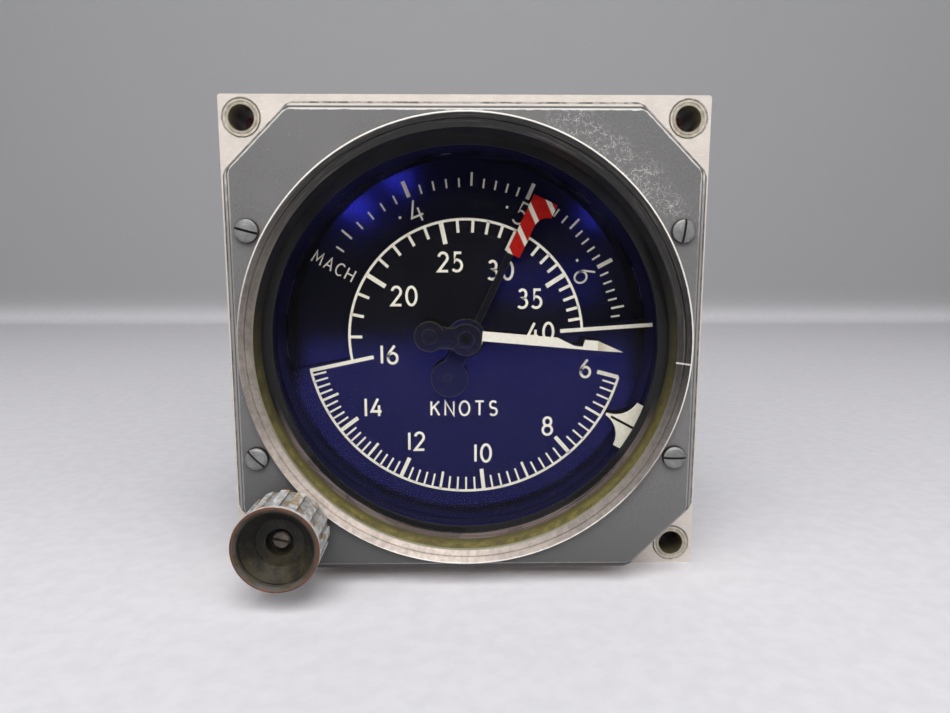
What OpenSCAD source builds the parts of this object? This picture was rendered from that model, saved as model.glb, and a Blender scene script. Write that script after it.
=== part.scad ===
// Airspeed and Mach indicator for a 3.25 inch square panel station.
// X runs to the right, Y to the back of the case and Z up. The dial faces -Y.
// The origin is the centre of the ears' front face, which seats on the back of the panel.

/* [Flange] */
// Width and height of the square flange
flange_w = 82.55; // [81.5:0.05:86]
// Thickness of the corner ears
ear_t = 6.5; // [6:0.1:7]
// Spacing of the corner screws, both ways
hole_pitch = 74.93; // [74.5:0.01:75.5]
// Bore radius of the corner bushes
bush_bore_r = 2.15; // [1.9:0.05:2.3]
// Across flats of the raised octagonal land
land_w = 77.4; // [76.6:0.1:78]
// Across flats of the grey front plate
plate_w = 74.9; // [74.5:0.1:75.4]
// Height of the front plate's face above the ears
front_rise = 8.8; // [8.4:0.1:9.2]
// Thickness of the front plate
plate_t = 1.5; // [1.2:0.1:1.8]

/* [Bezel and dial] */
// Outer radius of the bezel ring
ring_r = 36.9; // [36.5:0.1:37.2]
// Radius of the ring's face at its inner edge
ring_face_r = 34.56; // [34.2:0.02:34.8]
// Radius of the glass
glass_r = 35.3; // [35.2:0.05:35.4]
// Thickness of the glass
glass_t = 2; // [1.5:0.1:2.2]
// Depth of the dial face behind the ears' front face
dial_y = 4.2; // [4.1:0.1:4.4]
// Radius of the dial
dial_r = 34.2; // [34:0.1:34.2]
// Direction of the airspeed pointer at rest, clockwise from the top
pointer_rest = 94.9; // [90:0.1:100]
// Direction of the limit pointer at rest, clockwise from the top
limit_rest = 25.2; // [0:0.1:40]
// Direction of the speed bug at rest, clockwise from the top
bug_rest = 118.3; // [105:0.1:250]

/* [Knob] */
// Radius of the fluted knob
knob_r = 7; // [6.5:0.1:7.2]
// Length of the knob
knob_len = 8.7; // [8:0.1:10]
// Number of flutes
flutes = 16; // [12:1:20]

/* [Case] */
// Outer radius of the rear case
case_r = 38.5; // [38.2:0.1:39]
// Wall of the rear case
case_wall = 2; // [1.6:0.1:2.2]
// Distance from the ears' front face to the back of the case
case_back = 92.4; // [88:0.1:100]
// Distance of the pressure unions from the centre line
union_x = 15; // [13:0.5:17]

/* [Hidden] */
$fn = 64;
PI_DEG = 180 / PI;
corner_signs = [[-1, 1], [1, 1], [1, -1], [-1, -1]];
hole_at = hole_pitch / 2;
land_clip = 47.1;
plate_clip = 46.3;
vertex_cut = 0.25;
body_clip = 47.5;
edge_bevel = 0.4;
ear_round = 0.5;
plate_back = plate_t - front_rise;
bush_r = 3.05;
bush_back = 14;
insert_y = 9.6;
insert_t = 1.8;
insert_r = 2.7;
gap = 0.05;
thread_gap = 0.05;
face_overlap = 0.1;

// Depths of the front stack, from the front to the back
ring_lip = 1.12;
glass_y = -6;
gasket_y = glass_y + glass_t;
gasket_t = 0.7;
gasket_r = 32.7;
lip_r = 33;
lip_back = gasket_y + gasket_t + 0.8;
lip_open_r = 35.8;
chamber_y = 1;
bug_y = 1.5;
bug_t = 0.5;
bug_ring_y = bug_y + bug_t;
bug_ring_t = 2.6;
carrier_y = 2.4;
dial_t = 0.5;
disc_y = 5.4;
disc_t = 0.4;
pointer_y = 0.7;
pointer_t = 0.5;
boss_y = 0.4;
tip_bend = 9;
limit_y = 2.6;
limit_t = 0.5;
front_plate_y = 8;
movement_plate_t = 2;
housing_back = front_plate_y + movement_plate_t;
case_gasket_t = 0.6;
case_front = housing_back + case_gasket_t;
case_flange_t = 3;
rear_gasket_t = 0.6;
cover_y = case_back + rear_gasket_t;
cover_t = 3.5;
union_len = 15.5;

// Knob train: the bug ring and its pinion
bug_module = 0.8;
bug_teeth = 94;
knob_teeth = 12;
knob_reach = bug_module * (bug_teeth + knob_teeth) / 2;
knob_angle = 225.67;
knob_at = [knob_reach * cos(knob_angle), knob_reach * sin(knob_angle)];
knob_back = -10.4;
knob_front = knob_back - knob_len;
shaft_r = 1.5;
knob_bush_r = 2.2;
seal_section_r = 0.5;
pocket_r = 6;
chamber_r = 38.9;
spigot_r = 35.25;
ring_bore_r = spigot_r + gap;
screw_at = [34.64, 18.56];
plate_screw_r = 1.2;
screw_head_r = 1.95;
screw_head_h = 1.2;
case_screw_at = [37.5, 20];
lug_at = 30.5;
lug_signs = [[-1, 1], [1, 1], [1, -1]];
lug_r = 3.2;
lug_head_r = 2.1;
lug_head_h = 1.1;

// Movement: two sectors, each driving a pinion on the centre line
fine_module = 0.4;
pointer_teeth = 12;
pointer_sector_teeth = 96;
sleeve_teeth = 14;
sleeve_sector_teeth = 84;
pointer_ratio = pointer_sector_teeth / pointer_teeth;
sector_travel = 352 / pointer_ratio;
pointer_sector_at = [0, fine_module * (pointer_teeth + pointer_sector_teeth) / 2];
sleeve_sector_at = [fine_module * (sleeve_teeth + sleeve_sector_teeth) / 2, 0];
sleeve_mid = 8;
sleeve_half_travel = 10;
sector_margin = 5;
sleeve_sector_y = 12;
pointer_sector_y = 17;
sector_t = 1.5;
sleeve_r = 1.5;
staff_r = 0.8;
pivot_r = 1;
pivot_bush_r = 2.2;
mid_plate_y = 22;
rear_plate_y = 66;
rear_plate_r = 33.4;
mid_plate_r = 34;
pillar_r = 2.5;
stud_r = 1.2;
pillars = [[-23, -20], [26, 17], [-18, 25], [8, -30]];
crank_y = 47;
crank_t = 1.2;
pin_r = 0.5;
slot_half = 0.65;
fork_y = 45.5;
fork_t = 1;
pointer_crank = 5;
sleeve_crank = 6;
capsule_y = 46;
capsule_z = 2;
capsule_x = -20;
capsule_r = 14.2;
aneroid_x = 13.66;
aneroid_r = 12.5;
aneroid_base = -22.6;
post_r = 0.8;
pipe_r = 1.4;
pipe_x = -31.5;
spring_t = 0.22;
spring_h = 0.5;

// Tooth form
pressure_angle = 25;
addendum = 0.9;
dedendum = 1.15;
lash = 0.09;

// Extrudes a shape drawn in X and Z from one depth to another
module slab(y0, y1) {
    translate([0, y1, 0]) rotate([90, 0, 0]) linear_extrude(y1 - y0) children();
}

// Round rod along Y, centred on a point given as X and Z
module rod(y0, y1, r, at = [0, 0]) {
    translate([at[0], y0, at[1]]) rotate([-90, 0, 0]) cylinder(h = y1 - y0, r = r);
}

// Turns a profile of radius and depth about the Y axis
module turned(at = [0, 0]) {
    translate([at[0], 0, at[1]]) rotate([-90, 0, 0]) rotate_extrude() children();
}

// Flat ring along Y
module ring(y0, y1, r_in, r_out, at = [0, 0]) {
    turned(at) translate([r_in, y0]) square([r_out - r_in, y1 - y0]);
}

module octagon(w, clip) {
    intersection() {
        square(w, center = true);
        rotate(45) square(2 * clip, center = true);
    }
}

// Distance of the small flat that takes off each corner of an octagon
function vertex_half(w, clip) =
    w / 2 * (cos(22.5) - sin(22.5)) + clip * sqrt(2) * sin(22.5) - vertex_cut;

// Octagonal slab whose front edges are bevelled and whose corners are eased
module bevelled_octagon(w, clip, y0, y1, bevel) {
    intersection_for (turn = [0 : 7]) {
        half = turn % 2 == 1 ? vertex_half(w, clip) : turn % 4 == 0 ? w / 2 : clip;
        rotate([0, turn * 22.5, 0]) linear_extrude(3 * w, center = true) polygon([
            [-half, y1], [half, y1], [half, y0 + bevel],
            [half - bevel, y0], [bevel - half, y0], [-half, y0 + bevel]
        ]);
    }
}

module rounded_square(w, r) {
    square([w, w - 2 * r], center = true);
    square([w - 2 * r, w], center = true);
    for (s = corner_signs) translate([s[0] * (w / 2 - r), s[1] * (w / 2 - r)]) circle(r);
}

// Point at a direction measured clockwise from the top
function clock(r, a) = [r * sin(a), r * cos(a)];

// Wedge between two clockwise directions
module wedge(r, a0, a1) {
    steps = 8;
    polygon(concat([[0, 0]], [for (i = [0 : steps]) clock(r, a0 + (a1 - a0) * i / steps)]));
}

// Profiles of a screw's head, as shares of its radius and height: flat with a chamfer, and domed
flat_head = [[0.84, 0], [1, 0.3]];
domed_head = [[0.42, 0.05], [0.74, 0.18], [0.93, 0.38], [1, 0.62]];

// Slotted screws point to +Y: the head's top is at y, the shank runs to y_end
module slotted_screw(y, y_end, head_r, head_h, shank_r, at, slot_turn = 0, profile = flat_head, slot_w = 0.3) {
    difference() {
        union() {
            turned(at) polygon(concat(
                [[0, y]],
                [for (p = profile) [head_r * p[0], y + head_h * p[1]]],
                [[head_r, y + head_h], [0, y + head_h]]
            ));
            rod(y + head_h - face_overlap, y_end, shank_r, at);
        }
        translate([at[0], y, at[1]]) rotate([0, slot_turn, 0])
            cube([3 * head_r, 1.1 * head_h, head_r * slot_w], center = true);
    }
}

// The same screw turned round, with its head's face at y and its shank forward to y_end
module rear_screw(y, y_end, head_r, head_h, shank_r, at, slot_turn = 0) {
    translate([0, y, 0]) mirror([0, 1, 0])
        slotted_screw(0, y - y_end, head_r, head_h, shank_r, at, slot_turn);
}

// Involute teeth: half of a tooth's angle at a radius
function involute(a) = tan(a) * PI_DEG - a;
function tooth_half(m, n, radius) =
    let (pitch_r = m * n / 2, base_r = pitch_r * cos(pressure_angle))
    (PI * m / 2 - lash) / 2 / pitch_r * PI_DEG + involute(pressure_angle)
    - involute(acos(min(1, base_r / max(radius, base_r))));
function flank_radii(m, n) =
    let (pitch_r = m * n / 2)
    [pitch_r - dedendum * m, pitch_r - 0.5 * m, pitch_r, pitch_r + 0.5 * m, pitch_r + addendum * m];
function tooth_points(m, n, centre) =
    let (radii = flank_radii(m, n), last = len(radii) - 1)
    concat(
        [for (i = [0 : last]) let (a = centre - tooth_half(m, n, radii[i])) radii[i] * [cos(a), sin(a)]],
        [for (i = [last : -1 : 0]) let (a = centre + tooth_half(m, n, radii[i])) radii[i] * [cos(a), sin(a)]]
    );

// Gear outline with a tooth centred on the direction first, counter-clockwise from X
module gear_outline(m, n, first) {
    polygon([for (i = [0 : n - 1]) each tooth_points(m, n, first + i * 360 / n)]);
}

// Toothed sector with a hub and a lightened web, about the origin
module sector_outline(m, n, first, middle, half_span) {
    tip_r = m * n / 2 + m;
    rim_r = m * n / 2 - 3 * m;
    hub_r = 3;
    arm_half = 8;
    intersection() {
        gear_outline(m, n, first);
        rotate(middle) polygon([
            [0, 0], 1.1 * tip_r * [cos(half_span), -sin(half_span)],
            [1.4 * tip_r, 0], 1.1 * tip_r * [cos(half_span), sin(half_span)]
        ]);
        difference() {
            circle(tip_r + m);
            rotate(middle) for (s = [-1, 1]) rotate(s * (arm_half + (half_span - arm_half) / 2))
                translate([rim_r * 0.68, 0]) circle(rim_r * 0.13);
        }
    }
    circle(hub_r);
}

// Spiral of flat wire between two radii, wound clockwise as seen from the front
module spiral(r0, r1, turns, end) {
    steps = 24 * turns;
    function spot(i, side) = clock(r0 + (r1 - r0) * i / steps + side * spring_t / 2, end - (steps - i) * 15);
    polygon(concat(
        [for (i = [0 : steps]) spot(i, 1)],
        [for (i = [steps : -1 : 0]) spot(i, -1)]
    ));
}

// Corrugated capsule half: heights along a radius
function ripple(r, edge, dome, wave, radius) =
    edge + dome * (1 - pow(r / radius, 2)) + wave * sin(360 * r / (radius / 5));

// Closed corrugated capsule, turned about its own axis, as a profile of radius and height
module capsule_profile(radius, edge, dome, wave) {
    steps = 24;
    polygon(concat(
        [for (i = [0 : steps]) let (r = radius * i / steps) [r, ripple(r, edge, dome, wave, radius)]],
        [for (i = [steps : -1 : 0]) let (r = radius * i / steps) [r, -ripple(r, edge, dome, wave, radius)]]
    ));
}

// Straight pipe between two points, with a ball of solder at the second
module pipe_run(p, q, r) {
    d = q - p;
    translate(p) rotate([0, acos(d[2] / norm(d)), atan2(d[1], d[0])]) cylinder(h = norm(d), r = r);
    translate(q) sphere(r + 0.3);
}

module flange_housing() {
    color("silver") difference() {
        union() {
            slab(0, ear_t) rounded_square(flange_w, ear_round);
            bevelled_octagon(land_w, land_clip, plate_back, face_overlap, edge_bevel);
            slab(ear_t - face_overlap, housing_back) octagon(flange_w, body_clip);
        }
        rod(plate_back - 1, gasket_y + gasket_t, glass_r + gap);
        rod(plate_back, chamber_y, lip_r);
        turned() polygon([[0, lip_back], [lip_r, lip_back], [lip_open_r, chamber_y], [lip_open_r, chamber_y + 1],
            [0, chamber_y + 1]]);
        rod(chamber_y, housing_back + 1, chamber_r);
        rod(chamber_y, housing_back + 1, pocket_r, knob_at);
        rod(plate_back - 1, 1, knob_bush_r, knob_at);
        rod(0, chamber_y + 1, shaft_r + 2 * seal_section_r + gap, knob_at);
        for (s = corner_signs) {
            bush_at = [s[0] * hole_at, s[1] * hole_at];
            rod(-1, housing_back + 1, bush_r + gap, bush_at);
            turned(bush_at) polygon([[0, -0.1], [bush_r + 0.35, -0.1], [bush_r, 0.35], [0, 0.35]]);
            rod(plate_back - 1, -1, plate_screw_r + thread_gap, [s[0] * screw_at[0], s[1] * screw_at[1]]);
            rod(4, housing_back + 1, plate_screw_r + thread_gap,
                [s[0] * case_screw_at[0], s[1] * case_screw_at[1]]);
        }
        for (s = lug_signs) {
            rod(front_plate_y, housing_back + 1, lug_r + gap, lug_at * s);
            rod(3, housing_back, plate_screw_r + thread_gap, lug_at * s);
            lug_bridge(housing_back - front_plate_y + 1, lug_r + gap, s);
        }
    }
}

// Straight sides that join a lug to the movement plate's disc
module lug_bridge(t, half, s) {
    slab(front_plate_y, front_plate_y + t) rotate(atan2(s[1], s[0]))
        translate([lug_at, -half]) square([lug_at * sqrt(2) - lug_at, 2 * half]);
}

module front_plate() {
    color("dimgray") difference() {
        bevelled_octagon(plate_w, plate_clip, -front_rise, plate_back, edge_bevel);
        rod(-front_rise - 1, plate_back + 1, glass_r + gap);
        rod(-front_rise - 1, plate_back + 1, knob_bush_r + gap, knob_at);
        for (s = corner_signs)
            rod(-front_rise - 1, plate_back + 1, plate_screw_r + 2 * thread_gap,
                [s[0] * screw_at[0], s[1] * screw_at[1]]);
    }
}

module plate_screws() {
    slot_turns = [15, 97, 0, 45];
    color("gray") for (i = [0 : 3]) {
        s = corner_signs[i];
        slotted_screw(-front_rise - screw_head_h, -1.5, screw_head_r, screw_head_h, plate_screw_r,
            [s[0] * screw_at[0], s[1] * screw_at[1]], slot_turns[i], domed_head, 0.2);
    }
}

// Depth of the ring's dished face at a radius
function face_y(r) = -front_rise - ring_lip * (r - ring_face_r) / (ring_r - 0.2 - ring_face_r);

module bezel_ring() {
    mark_at = 94.5;
    groove_at = 35.75;
    color("gainsboro") difference() {
        turned() polygon([
            [ring_r, -front_rise], [ring_r, -front_rise - ring_lip + 0.2],
            [ring_r - 0.2, -front_rise - ring_lip], [groove_at + 0.1, face_y(groove_at + 0.1)],
            [groove_at, face_y(groove_at) + 0.12], [groove_at - 0.1, face_y(groove_at - 0.1)],
            [ring_face_r, -front_rise],
            [ring_face_r - 0.6, glass_y - gap], [glass_r, glass_y - gap], [glass_r, -front_rise]
        ]);
        rotate([0, mark_at - 90, 0]) translate([ring_face_r - 0.5, -front_rise - ring_lip - 1, -0.1])
            cube([ring_r - ring_face_r + 1, 1.15, 0.2]);
    }
}

module glass() {
    color("slateblue", 0.4) rod(glass_y, gasket_y, glass_r);
}

module glass_gasket() {
    color("darkslategray") ring(gasket_y, gasket_y + gasket_t, gasket_r, glass_r);
}

module corner_bushes() {
    insert_end = insert_y + insert_t;
    face_groove_r = 2.6;
    color("gray") for (s = corner_signs) turned(hole_at * s) polygon([
        [bush_bore_r, 0], [face_groove_r - 0.15, 0], [face_groove_r, 0.2], [face_groove_r + 0.15, 0], [bush_r, 0],
        [bush_r, bush_back], [bush_bore_r, bush_back],
        [bush_bore_r, insert_end], [insert_r, insert_end], [insert_r, insert_y], [bush_bore_r, insert_y]
    ]);
}

module lock_inserts() {
    color("firebrick") for (s = corner_signs)
        ring(insert_y + gap, insert_y + insert_t - gap, bush_bore_r, insert_r - gap, hole_at * s);
}

module knob() {
    groove_w = 1.3;
    groove_deep = 0.42;
    rim_band = 0.9;
    dish_edge = knob_front + 1.1;
    floor_y = knob_front + 3.4;
    floor_r = 3.9;
    hole_r = 2.25;
    seat = knob_front + 5.2;
    web = seat + 1;
    color("lightsteelblue") difference() {
        turned(knob_at) polygon([
            [1, seat], [hole_r, seat], [hole_r, floor_y], [floor_r, floor_y], [floor_r + 0.1, floor_y - 0.25],
            [5.5, dish_edge + 0.4], [5.85, dish_edge], [5.85, knob_front + 0.7],
            [6.65, knob_front], [knob_r - 0.15, knob_front], [knob_r, knob_front + 0.25],
            [knob_r, knob_back - 0.5], [knob_r - 0.5, knob_back], [shaft_r + gap, knob_back],
            [shaft_r + gap, web], [1, web]
        ]);
        for (i = [0 : flutes - 1])
            translate([knob_at[0], 0, knob_at[1]]) rotate([0, (i + 0.5) * 360 / flutes, 0])
                translate([knob_r - groove_deep, knob_front + rim_band, -groove_w / 2])
                    cube([1, knob_len, groove_w]);
    }
}

module knob_screw() {
    head_y = knob_front + 4.2;
    color("dimgray") slotted_screw(head_y, -9, 1.45, 1, 0.9, knob_at, 12);
}

module knob_shaft() {
    color("gray") difference() {
        rod(knob_front + 6.2 + gap, 5.3, shaft_r, knob_at);
        rod(knob_front, -8, 0.9 + thread_gap, knob_at);
        ring(4.6, 5, shaft_r - 0.25, shaft_r + 1, knob_at);
    }
}

module knob_pinion() {
    color("goldenrod") difference() {
        slab(2.2, 4.5) translate(knob_at)
            gear_outline(bug_module, knob_teeth, knob_angle + 180 + 180 / knob_teeth);
        rod(2, 5, shaft_r, knob_at);
    }
}

module knob_bush() {
    color("peru") ring(-front_rise - 0.4, -gap, shaft_r + gap, knob_bush_r, knob_at);
}

module shaft_seal() {
    color("black") turned(knob_at) translate([shaft_r + seal_section_r + gap / 2, seal_section_r + gap])
        circle(seal_section_r - gap / 2);
}

module shaft_clip() {
    color("slategray") difference() {
        ring(4.6, 5, shaft_r - 0.25, 2.6, knob_at);
        translate([knob_at[0], 4.5, knob_at[1] - 0.9]) cube([4, 1, 1.8]);
    }
}

module bug_ring() {
    color("black") difference() {
        slab(bug_ring_y, bug_ring_y + bug_ring_t) gear_outline(bug_module, bug_teeth, knob_angle);
        rod(0, 8, ring_bore_r);
    }
}

module speed_bug() {
    tip = 28.8;
    outer = 36.2;
    half = 4.4;
    flare_r = 4.5;
    color("ivory") slab(bug_y, bug_y + bug_t) rotate(90 - bug_rest) difference() {
        translate([tip, -half]) square([outer - tip, 2 * half]);
        for (s = [-1, 1]) translate([tip - 0.5, s * (flare_r + 0.2)]) circle(flare_r);
    }
}

module dial_carrier() {
    ledge_r = 33.4;
    flange_y = 5;
    flange_r = chamber_r - 0.2;
    color("black") turned() polygon([
        [dial_r + 0.1, carrier_y], [spigot_r, carrier_y], [spigot_r, flange_y], [flange_r, flange_y],
        [flange_r, front_plate_y], [ledge_r, front_plate_y], [ledge_r, dial_y + dial_t],
        [dial_r + 0.1, dial_y + dial_t]
    ]);
}

module dial() {
    window_in = 21.6;
    window_out = 32.45;
    window_from = 259.5;
    window_to = 443.75;
    color("black") slab(dial_y, dial_y + dial_t) difference() {
        circle(dial_r);
        circle(sleeve_r + 0.6);
        intersection() {
            wedge(2 * dial_r, window_from, window_to);
            difference() {
                circle(window_out);
                circle(window_in);
            }
        }
    }
}

module mach_disc() {
    color("black") ring(disc_y, disc_y + disc_t, sleeve_r, 33);
}

module limit_pointer() {
    blade_from = 16.9;
    blade_to = 27.95;
    hook_r = 2.5;
    hook_from = 23;
    blade_half = 2.47;
    hook_half = 4.55;
    tail_reach = 7.9;
    color("firebrick") slab(limit_y, limit_y + limit_t) difference() {
        rotate(90 - limit_rest) {
            translate([blade_from, -blade_half]) square([blade_to - blade_from, blade_half]);
            difference() {
                translate([hook_from, -hook_half]) square([blade_to - hook_from, hook_half]);
                translate([hook_from, -blade_half - hook_r]) circle(hook_r);
            }
            translate([0, -1.3]) square([blade_from + face_overlap, 1.3]);
            circle(3.6);
            translate([-tail_reach, -0.4]) circle(3.4);
            waist(tail_reach, 3, 1.7);
        }
        circle(sleeve_r);
    }
    color("firebrick") rod(limit_y - 0.3, limit_y + face_overlap, 0.8, -clock(tail_reach, limit_rest));
}

// Neck between two round bosses, narrowed by a round cut on each side
module waist(reach, half, neck) {
    cut_r = reach / 1.6;
    difference() {
        translate([-reach, -half]) square([reach, 2 * half]);
        for (s = [-1, 1]) translate([-reach / 2, s * (neck + cut_r)]) circle(cut_r);
    }
}

module airspeed_pointer() {
    tail_reach = 6.5;
    hub_r = 2.9;
    tip = 28.2;
    fold = 23.4;
    blade_half = 1.7;
    color("ivory") difference() {
        union() {
            slab(pointer_y, pointer_y + pointer_t) rotate(90 - pointer_rest) {
                polygon([
                    [0, 0], [fold, 0], [fold, blade_half], [21, blade_half], [20.75, 0.45], [19.3, 0.46],
                    [16.1, blade_half], [0, blade_half]
                ]);
                circle(hub_r);
                translate([-tail_reach, 0]) circle(2.75);
                waist(tail_reach, 2.6, 1.9);
            }
            rotate([0, pointer_rest - 90, 0]) translate([fold, pointer_y, 0]) rotate([0, 0, tip_bend])
                slab(0, pointer_t) polygon([[0, 0], [tip - fold, 0], [0, blade_half]]);
            rod(boss_y, pointer_y + face_overlap, 1.5);
            rod(boss_y, pointer_y + face_overlap, 1.4, -clock(tail_reach, pointer_rest));
        }
        rod(0, 2, staff_r);
    }
}

module altitude_sleeve() {
    color("goldenrod") difference() {
        union() {
            rod(2.4, 15.5, sleeve_r);
            rod(disc_y + disc_t, disc_y + disc_t + 1, 5);
            slab(sleeve_sector_y - 0.2, sleeve_sector_y + sector_t + 0.2)
                gear_outline(fine_module, sleeve_teeth, 180 / sleeve_teeth);
        }
        rod(0, 20, staff_r + gap);
    }
}

module airspeed_staff() {
    color("gray") {
        rod(0.3, mid_plate_y + 1.8, staff_r);
        slab(pointer_sector_y - 0.2, pointer_sector_y + sector_t + 0.2)
            gear_outline(fine_module, pointer_teeth, 90 + 180 / pointer_teeth);
        rod(19.5, 20.4, 2);
    }
}

module movement_front_plate() {
    boss_r = 4;
    color("silver") difference() {
        union() {
            rod(front_plate_y, housing_back, chamber_r - 0.3);
            rod(front_plate_y - 0.8, housing_back + 1.4, boss_r);
            for (s = lug_signs) {
                rod(front_plate_y, housing_back, lug_r, lug_at * s);
                lug_bridge(movement_plate_t, lug_r, s);
            }
        }
        rod(0, 20, sleeve_r + gap);
        rod(0, 20, pivot_bush_r, pointer_sector_at);
        rod(0, 20, pivot_bush_r, sleeve_sector_at);
        for (p = pillars) rod(0, 20, stud_r + 2 * thread_gap, p);
        for (s = lug_signs) {
            rod(0, 20, plate_screw_r + 2 * thread_gap, lug_at * s);
            rod(housing_back - lug_head_h, 20, lug_head_r + gap, lug_at * s);
        }
    }
}

module movement_mid_plate() {
    color("silver") difference() {
        rod(mid_plate_y, mid_plate_y + movement_plate_t, mid_plate_r);
        rod(0, 30, pivot_bush_r);
        rod(0, 30, pivot_r + 0.3, pointer_sector_at);
        rod(0, 30, pivot_r + 0.3, sleeve_sector_at);
        for (p = pillars) rod(0, 30, stud_r + gap, p);
        for (p = bracket_holes()) rod(0, 30, stud_r + gap, p);
        for (a = [200, 250, 300]) rod(0, 30, 5, clock(18, a - 90));
    }
}

function bracket_holes() = [[-23, -5], [-23, 9], [8, -19], [19, -19]];

module movement_rear_plate() {
    color("silver") difference() {
        rod(rear_plate_y, rear_plate_y + movement_plate_t, rear_plate_r);
        for (p = [pointer_sector_at, sleeve_sector_at]) rod(0, 80, pivot_bush_r, p);
        for (p = pillars) rod(0, 80, stud_r + 2 * thread_gap, p);
        rod(0, 80, 3, [pipe_x, capsule_z]);
        slab(0, 80) translate([pipe_x - 6, capsule_z - 3]) square([6, 6]);
        rod(0, 80, 9);
        for (p = [[-13, -14], [16, -14]]) rod(0, 80, 6, p);
    }
}

module front_pillars() {
    color("gainsboro") for (p = pillars) difference() {
        rod(housing_back, mid_plate_y, pillar_r, p);
        rod(housing_back - 1, mid_plate_y + 1, stud_r + thread_gap, p);
    }
}

module rear_pillars() {
    color("gainsboro") for (p = pillars) difference() {
        union() {
            rod(mid_plate_y + movement_plate_t, rear_plate_y, pillar_r, p);
            rod(mid_plate_y - 5, rear_plate_y, stud_r, p);
        }
        rod(rear_plate_y - 8, rear_plate_y + 1, stud_r + thread_gap, p);
    }
}

module pillar_screws() {
    color("gray") for (p = pillars) {
        slotted_screw(front_plate_y - 1.1, mid_plate_y - 6, 2.1, 1.1, stud_r, p, p[0] * 7);
        rear_screw(rear_plate_y + movement_plate_t + 1.2, rear_plate_y - 6, 2.1, 1.2, stud_r, p, p[0] * 5);
    }
}

module movement_screws() {
    color("gray") for (s = lug_signs)
        rear_screw(housing_back, 3.5, lug_head_r, lug_head_h, plate_screw_r, lug_at * s, s[0] * 30 + s[1] * 50);
}

module pivot_bushes() {
    color("goldenrod") {
        for (p = [pointer_sector_at, sleeve_sector_at]) {
            ring(front_plate_y, housing_back, pivot_r + gap, pivot_bush_r, p);
            ring(rear_plate_y, rear_plate_y + movement_plate_t, pivot_r + gap, pivot_bush_r, p);
        }
        ring(mid_plate_y, mid_plate_y + movement_plate_t, staff_r + gap, pivot_bush_r);
    }
}

module sector_gear(y, at, teeth, first, middle, half_span) {
    color("goldenrod") difference() {
        slab(y, y + sector_t) translate(at) sector_outline(fine_module, teeth, first, middle, half_span);
        rod(0, 30, pivot_r, at);
    }
}

module airspeed_sector() {
    sector_gear(pointer_sector_y, pointer_sector_at, pointer_sector_teeth, -90,
        -90 - sector_travel / 2, sector_travel / 2 + sector_margin);
}

module altitude_sector() {
    sector_gear(sleeve_sector_y, sleeve_sector_at, sleeve_sector_teeth, 180,
        180 + sleeve_mid, sleeve_half_travel + sector_margin);
}

// Rocking shaft with a crank whose pin points forward through a fork
module rocking_shaft(at, crank, direction) {
    pin_at = at + crank * [cos(direction), sin(direction)];
    color("gray") {
        rod(front_plate_y + 0.1, rear_plate_y + movement_plate_t - 0.1, pivot_r, at);
        rod(crank_y, crank_y + 2, 2.1, at);
        slab(crank_y, crank_y + crank_t) translate(at) rotate(direction)
            translate([0, -1]) square([crank, 2]);
        rod(crank_y, crank_y + crank_t, 1, pin_at);
        rod(fork_y - 0.3, crank_y + 0.5, pin_r, pin_at);
    }
}

function pointer_pin() = pointer_sector_at + pointer_crank * [cos(-90 - sector_travel / 2), sin(-90 - sector_travel / 2)];
function sleeve_pin() = sleeve_sector_at + sleeve_crank * [cos(180 + sleeve_mid), sin(180 + sleeve_mid)];

module airspeed_rocking_shaft() {
    rocking_shaft(pointer_sector_at, pointer_crank, -90 - sector_travel / 2);
}

module altitude_rocking_shaft() {
    rocking_shaft(sleeve_sector_at, sleeve_crank, 180 + sleeve_mid);
}

module airspeed_hairspring() {
    color("lightgray") slab(19.7, 19.7 + spring_h) spiral(2.3, 7.2, 4, 180);
}

module altitude_hairspring() {
    color("lightgray") slab(14.2, 14.2 + spring_h) spiral(1.85, 7.2, 4, 270);
}

module spring_studs() {
    color("gray") {
        rod(19.4, mid_plate_y, 0.5, clock(7.85, 180));
        rod(housing_back, 15, 0.5, clock(7.85, 270));
    }
}

module airspeed_capsule() {
    color("sandybrown") translate([0, capsule_y, capsule_z]) rotate([0, 90, 0]) {
        translate([0, 0, capsule_x]) rotate_extrude() capsule_profile(capsule_r, 0.5, 2.7, 0.3);
        translate([0, 0, -29.8]) cylinder(h = 29.8 + capsule_x - 2, r = 2.4);
    }
}

module airspeed_post() {
    foot_x = capsule_x + 3.7;
    fork_top = 19.5;
    fork_half = 2;
    pin = pointer_pin();
    pin_low = pointer_sector_at[1] - pointer_crank;
    color("gray") {
        translate([foot_x, capsule_y, capsule_z]) rotate([0, 90, 0]) {
            cylinder(h = 1.2, r = 3);
            cylinder(h = pin[0] - foot_x, r = post_r);
        }
        slab(fork_y, fork_y + fork_t) difference() {
            translate([pin[0] - fork_half, capsule_z - 1]) square([2 * fork_half, fork_top - capsule_z + 1]);
            translate([pin[0] - slot_half, pin_low - pin_r - 0.2])
                square([2 * slot_half, pin[1] - pin_low + 2 * pin_r + 0.4]);
        }
    }
}

// Angle plate that carries a capsule behind the middle plate
module airspeed_bracket() {
    plate_x = -29.2;
    color("silver") difference() {
        union() {
            translate([plate_x, mid_plate_y + movement_plate_t, capsule_z - 10]) cube([2, 34, 20]);
            translate([plate_x, mid_plate_y + movement_plate_t, capsule_z - 10]) cube([9.5, 2, 20]);
        }
        translate([plate_x - 1, capsule_y, capsule_z]) rotate([0, 90, 0]) cylinder(h = 4, r = 2.4);
        for (i = [0, 1]) rod(20, 30, stud_r + 2 * thread_gap, bracket_holes()[i]);
    }
}

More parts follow.
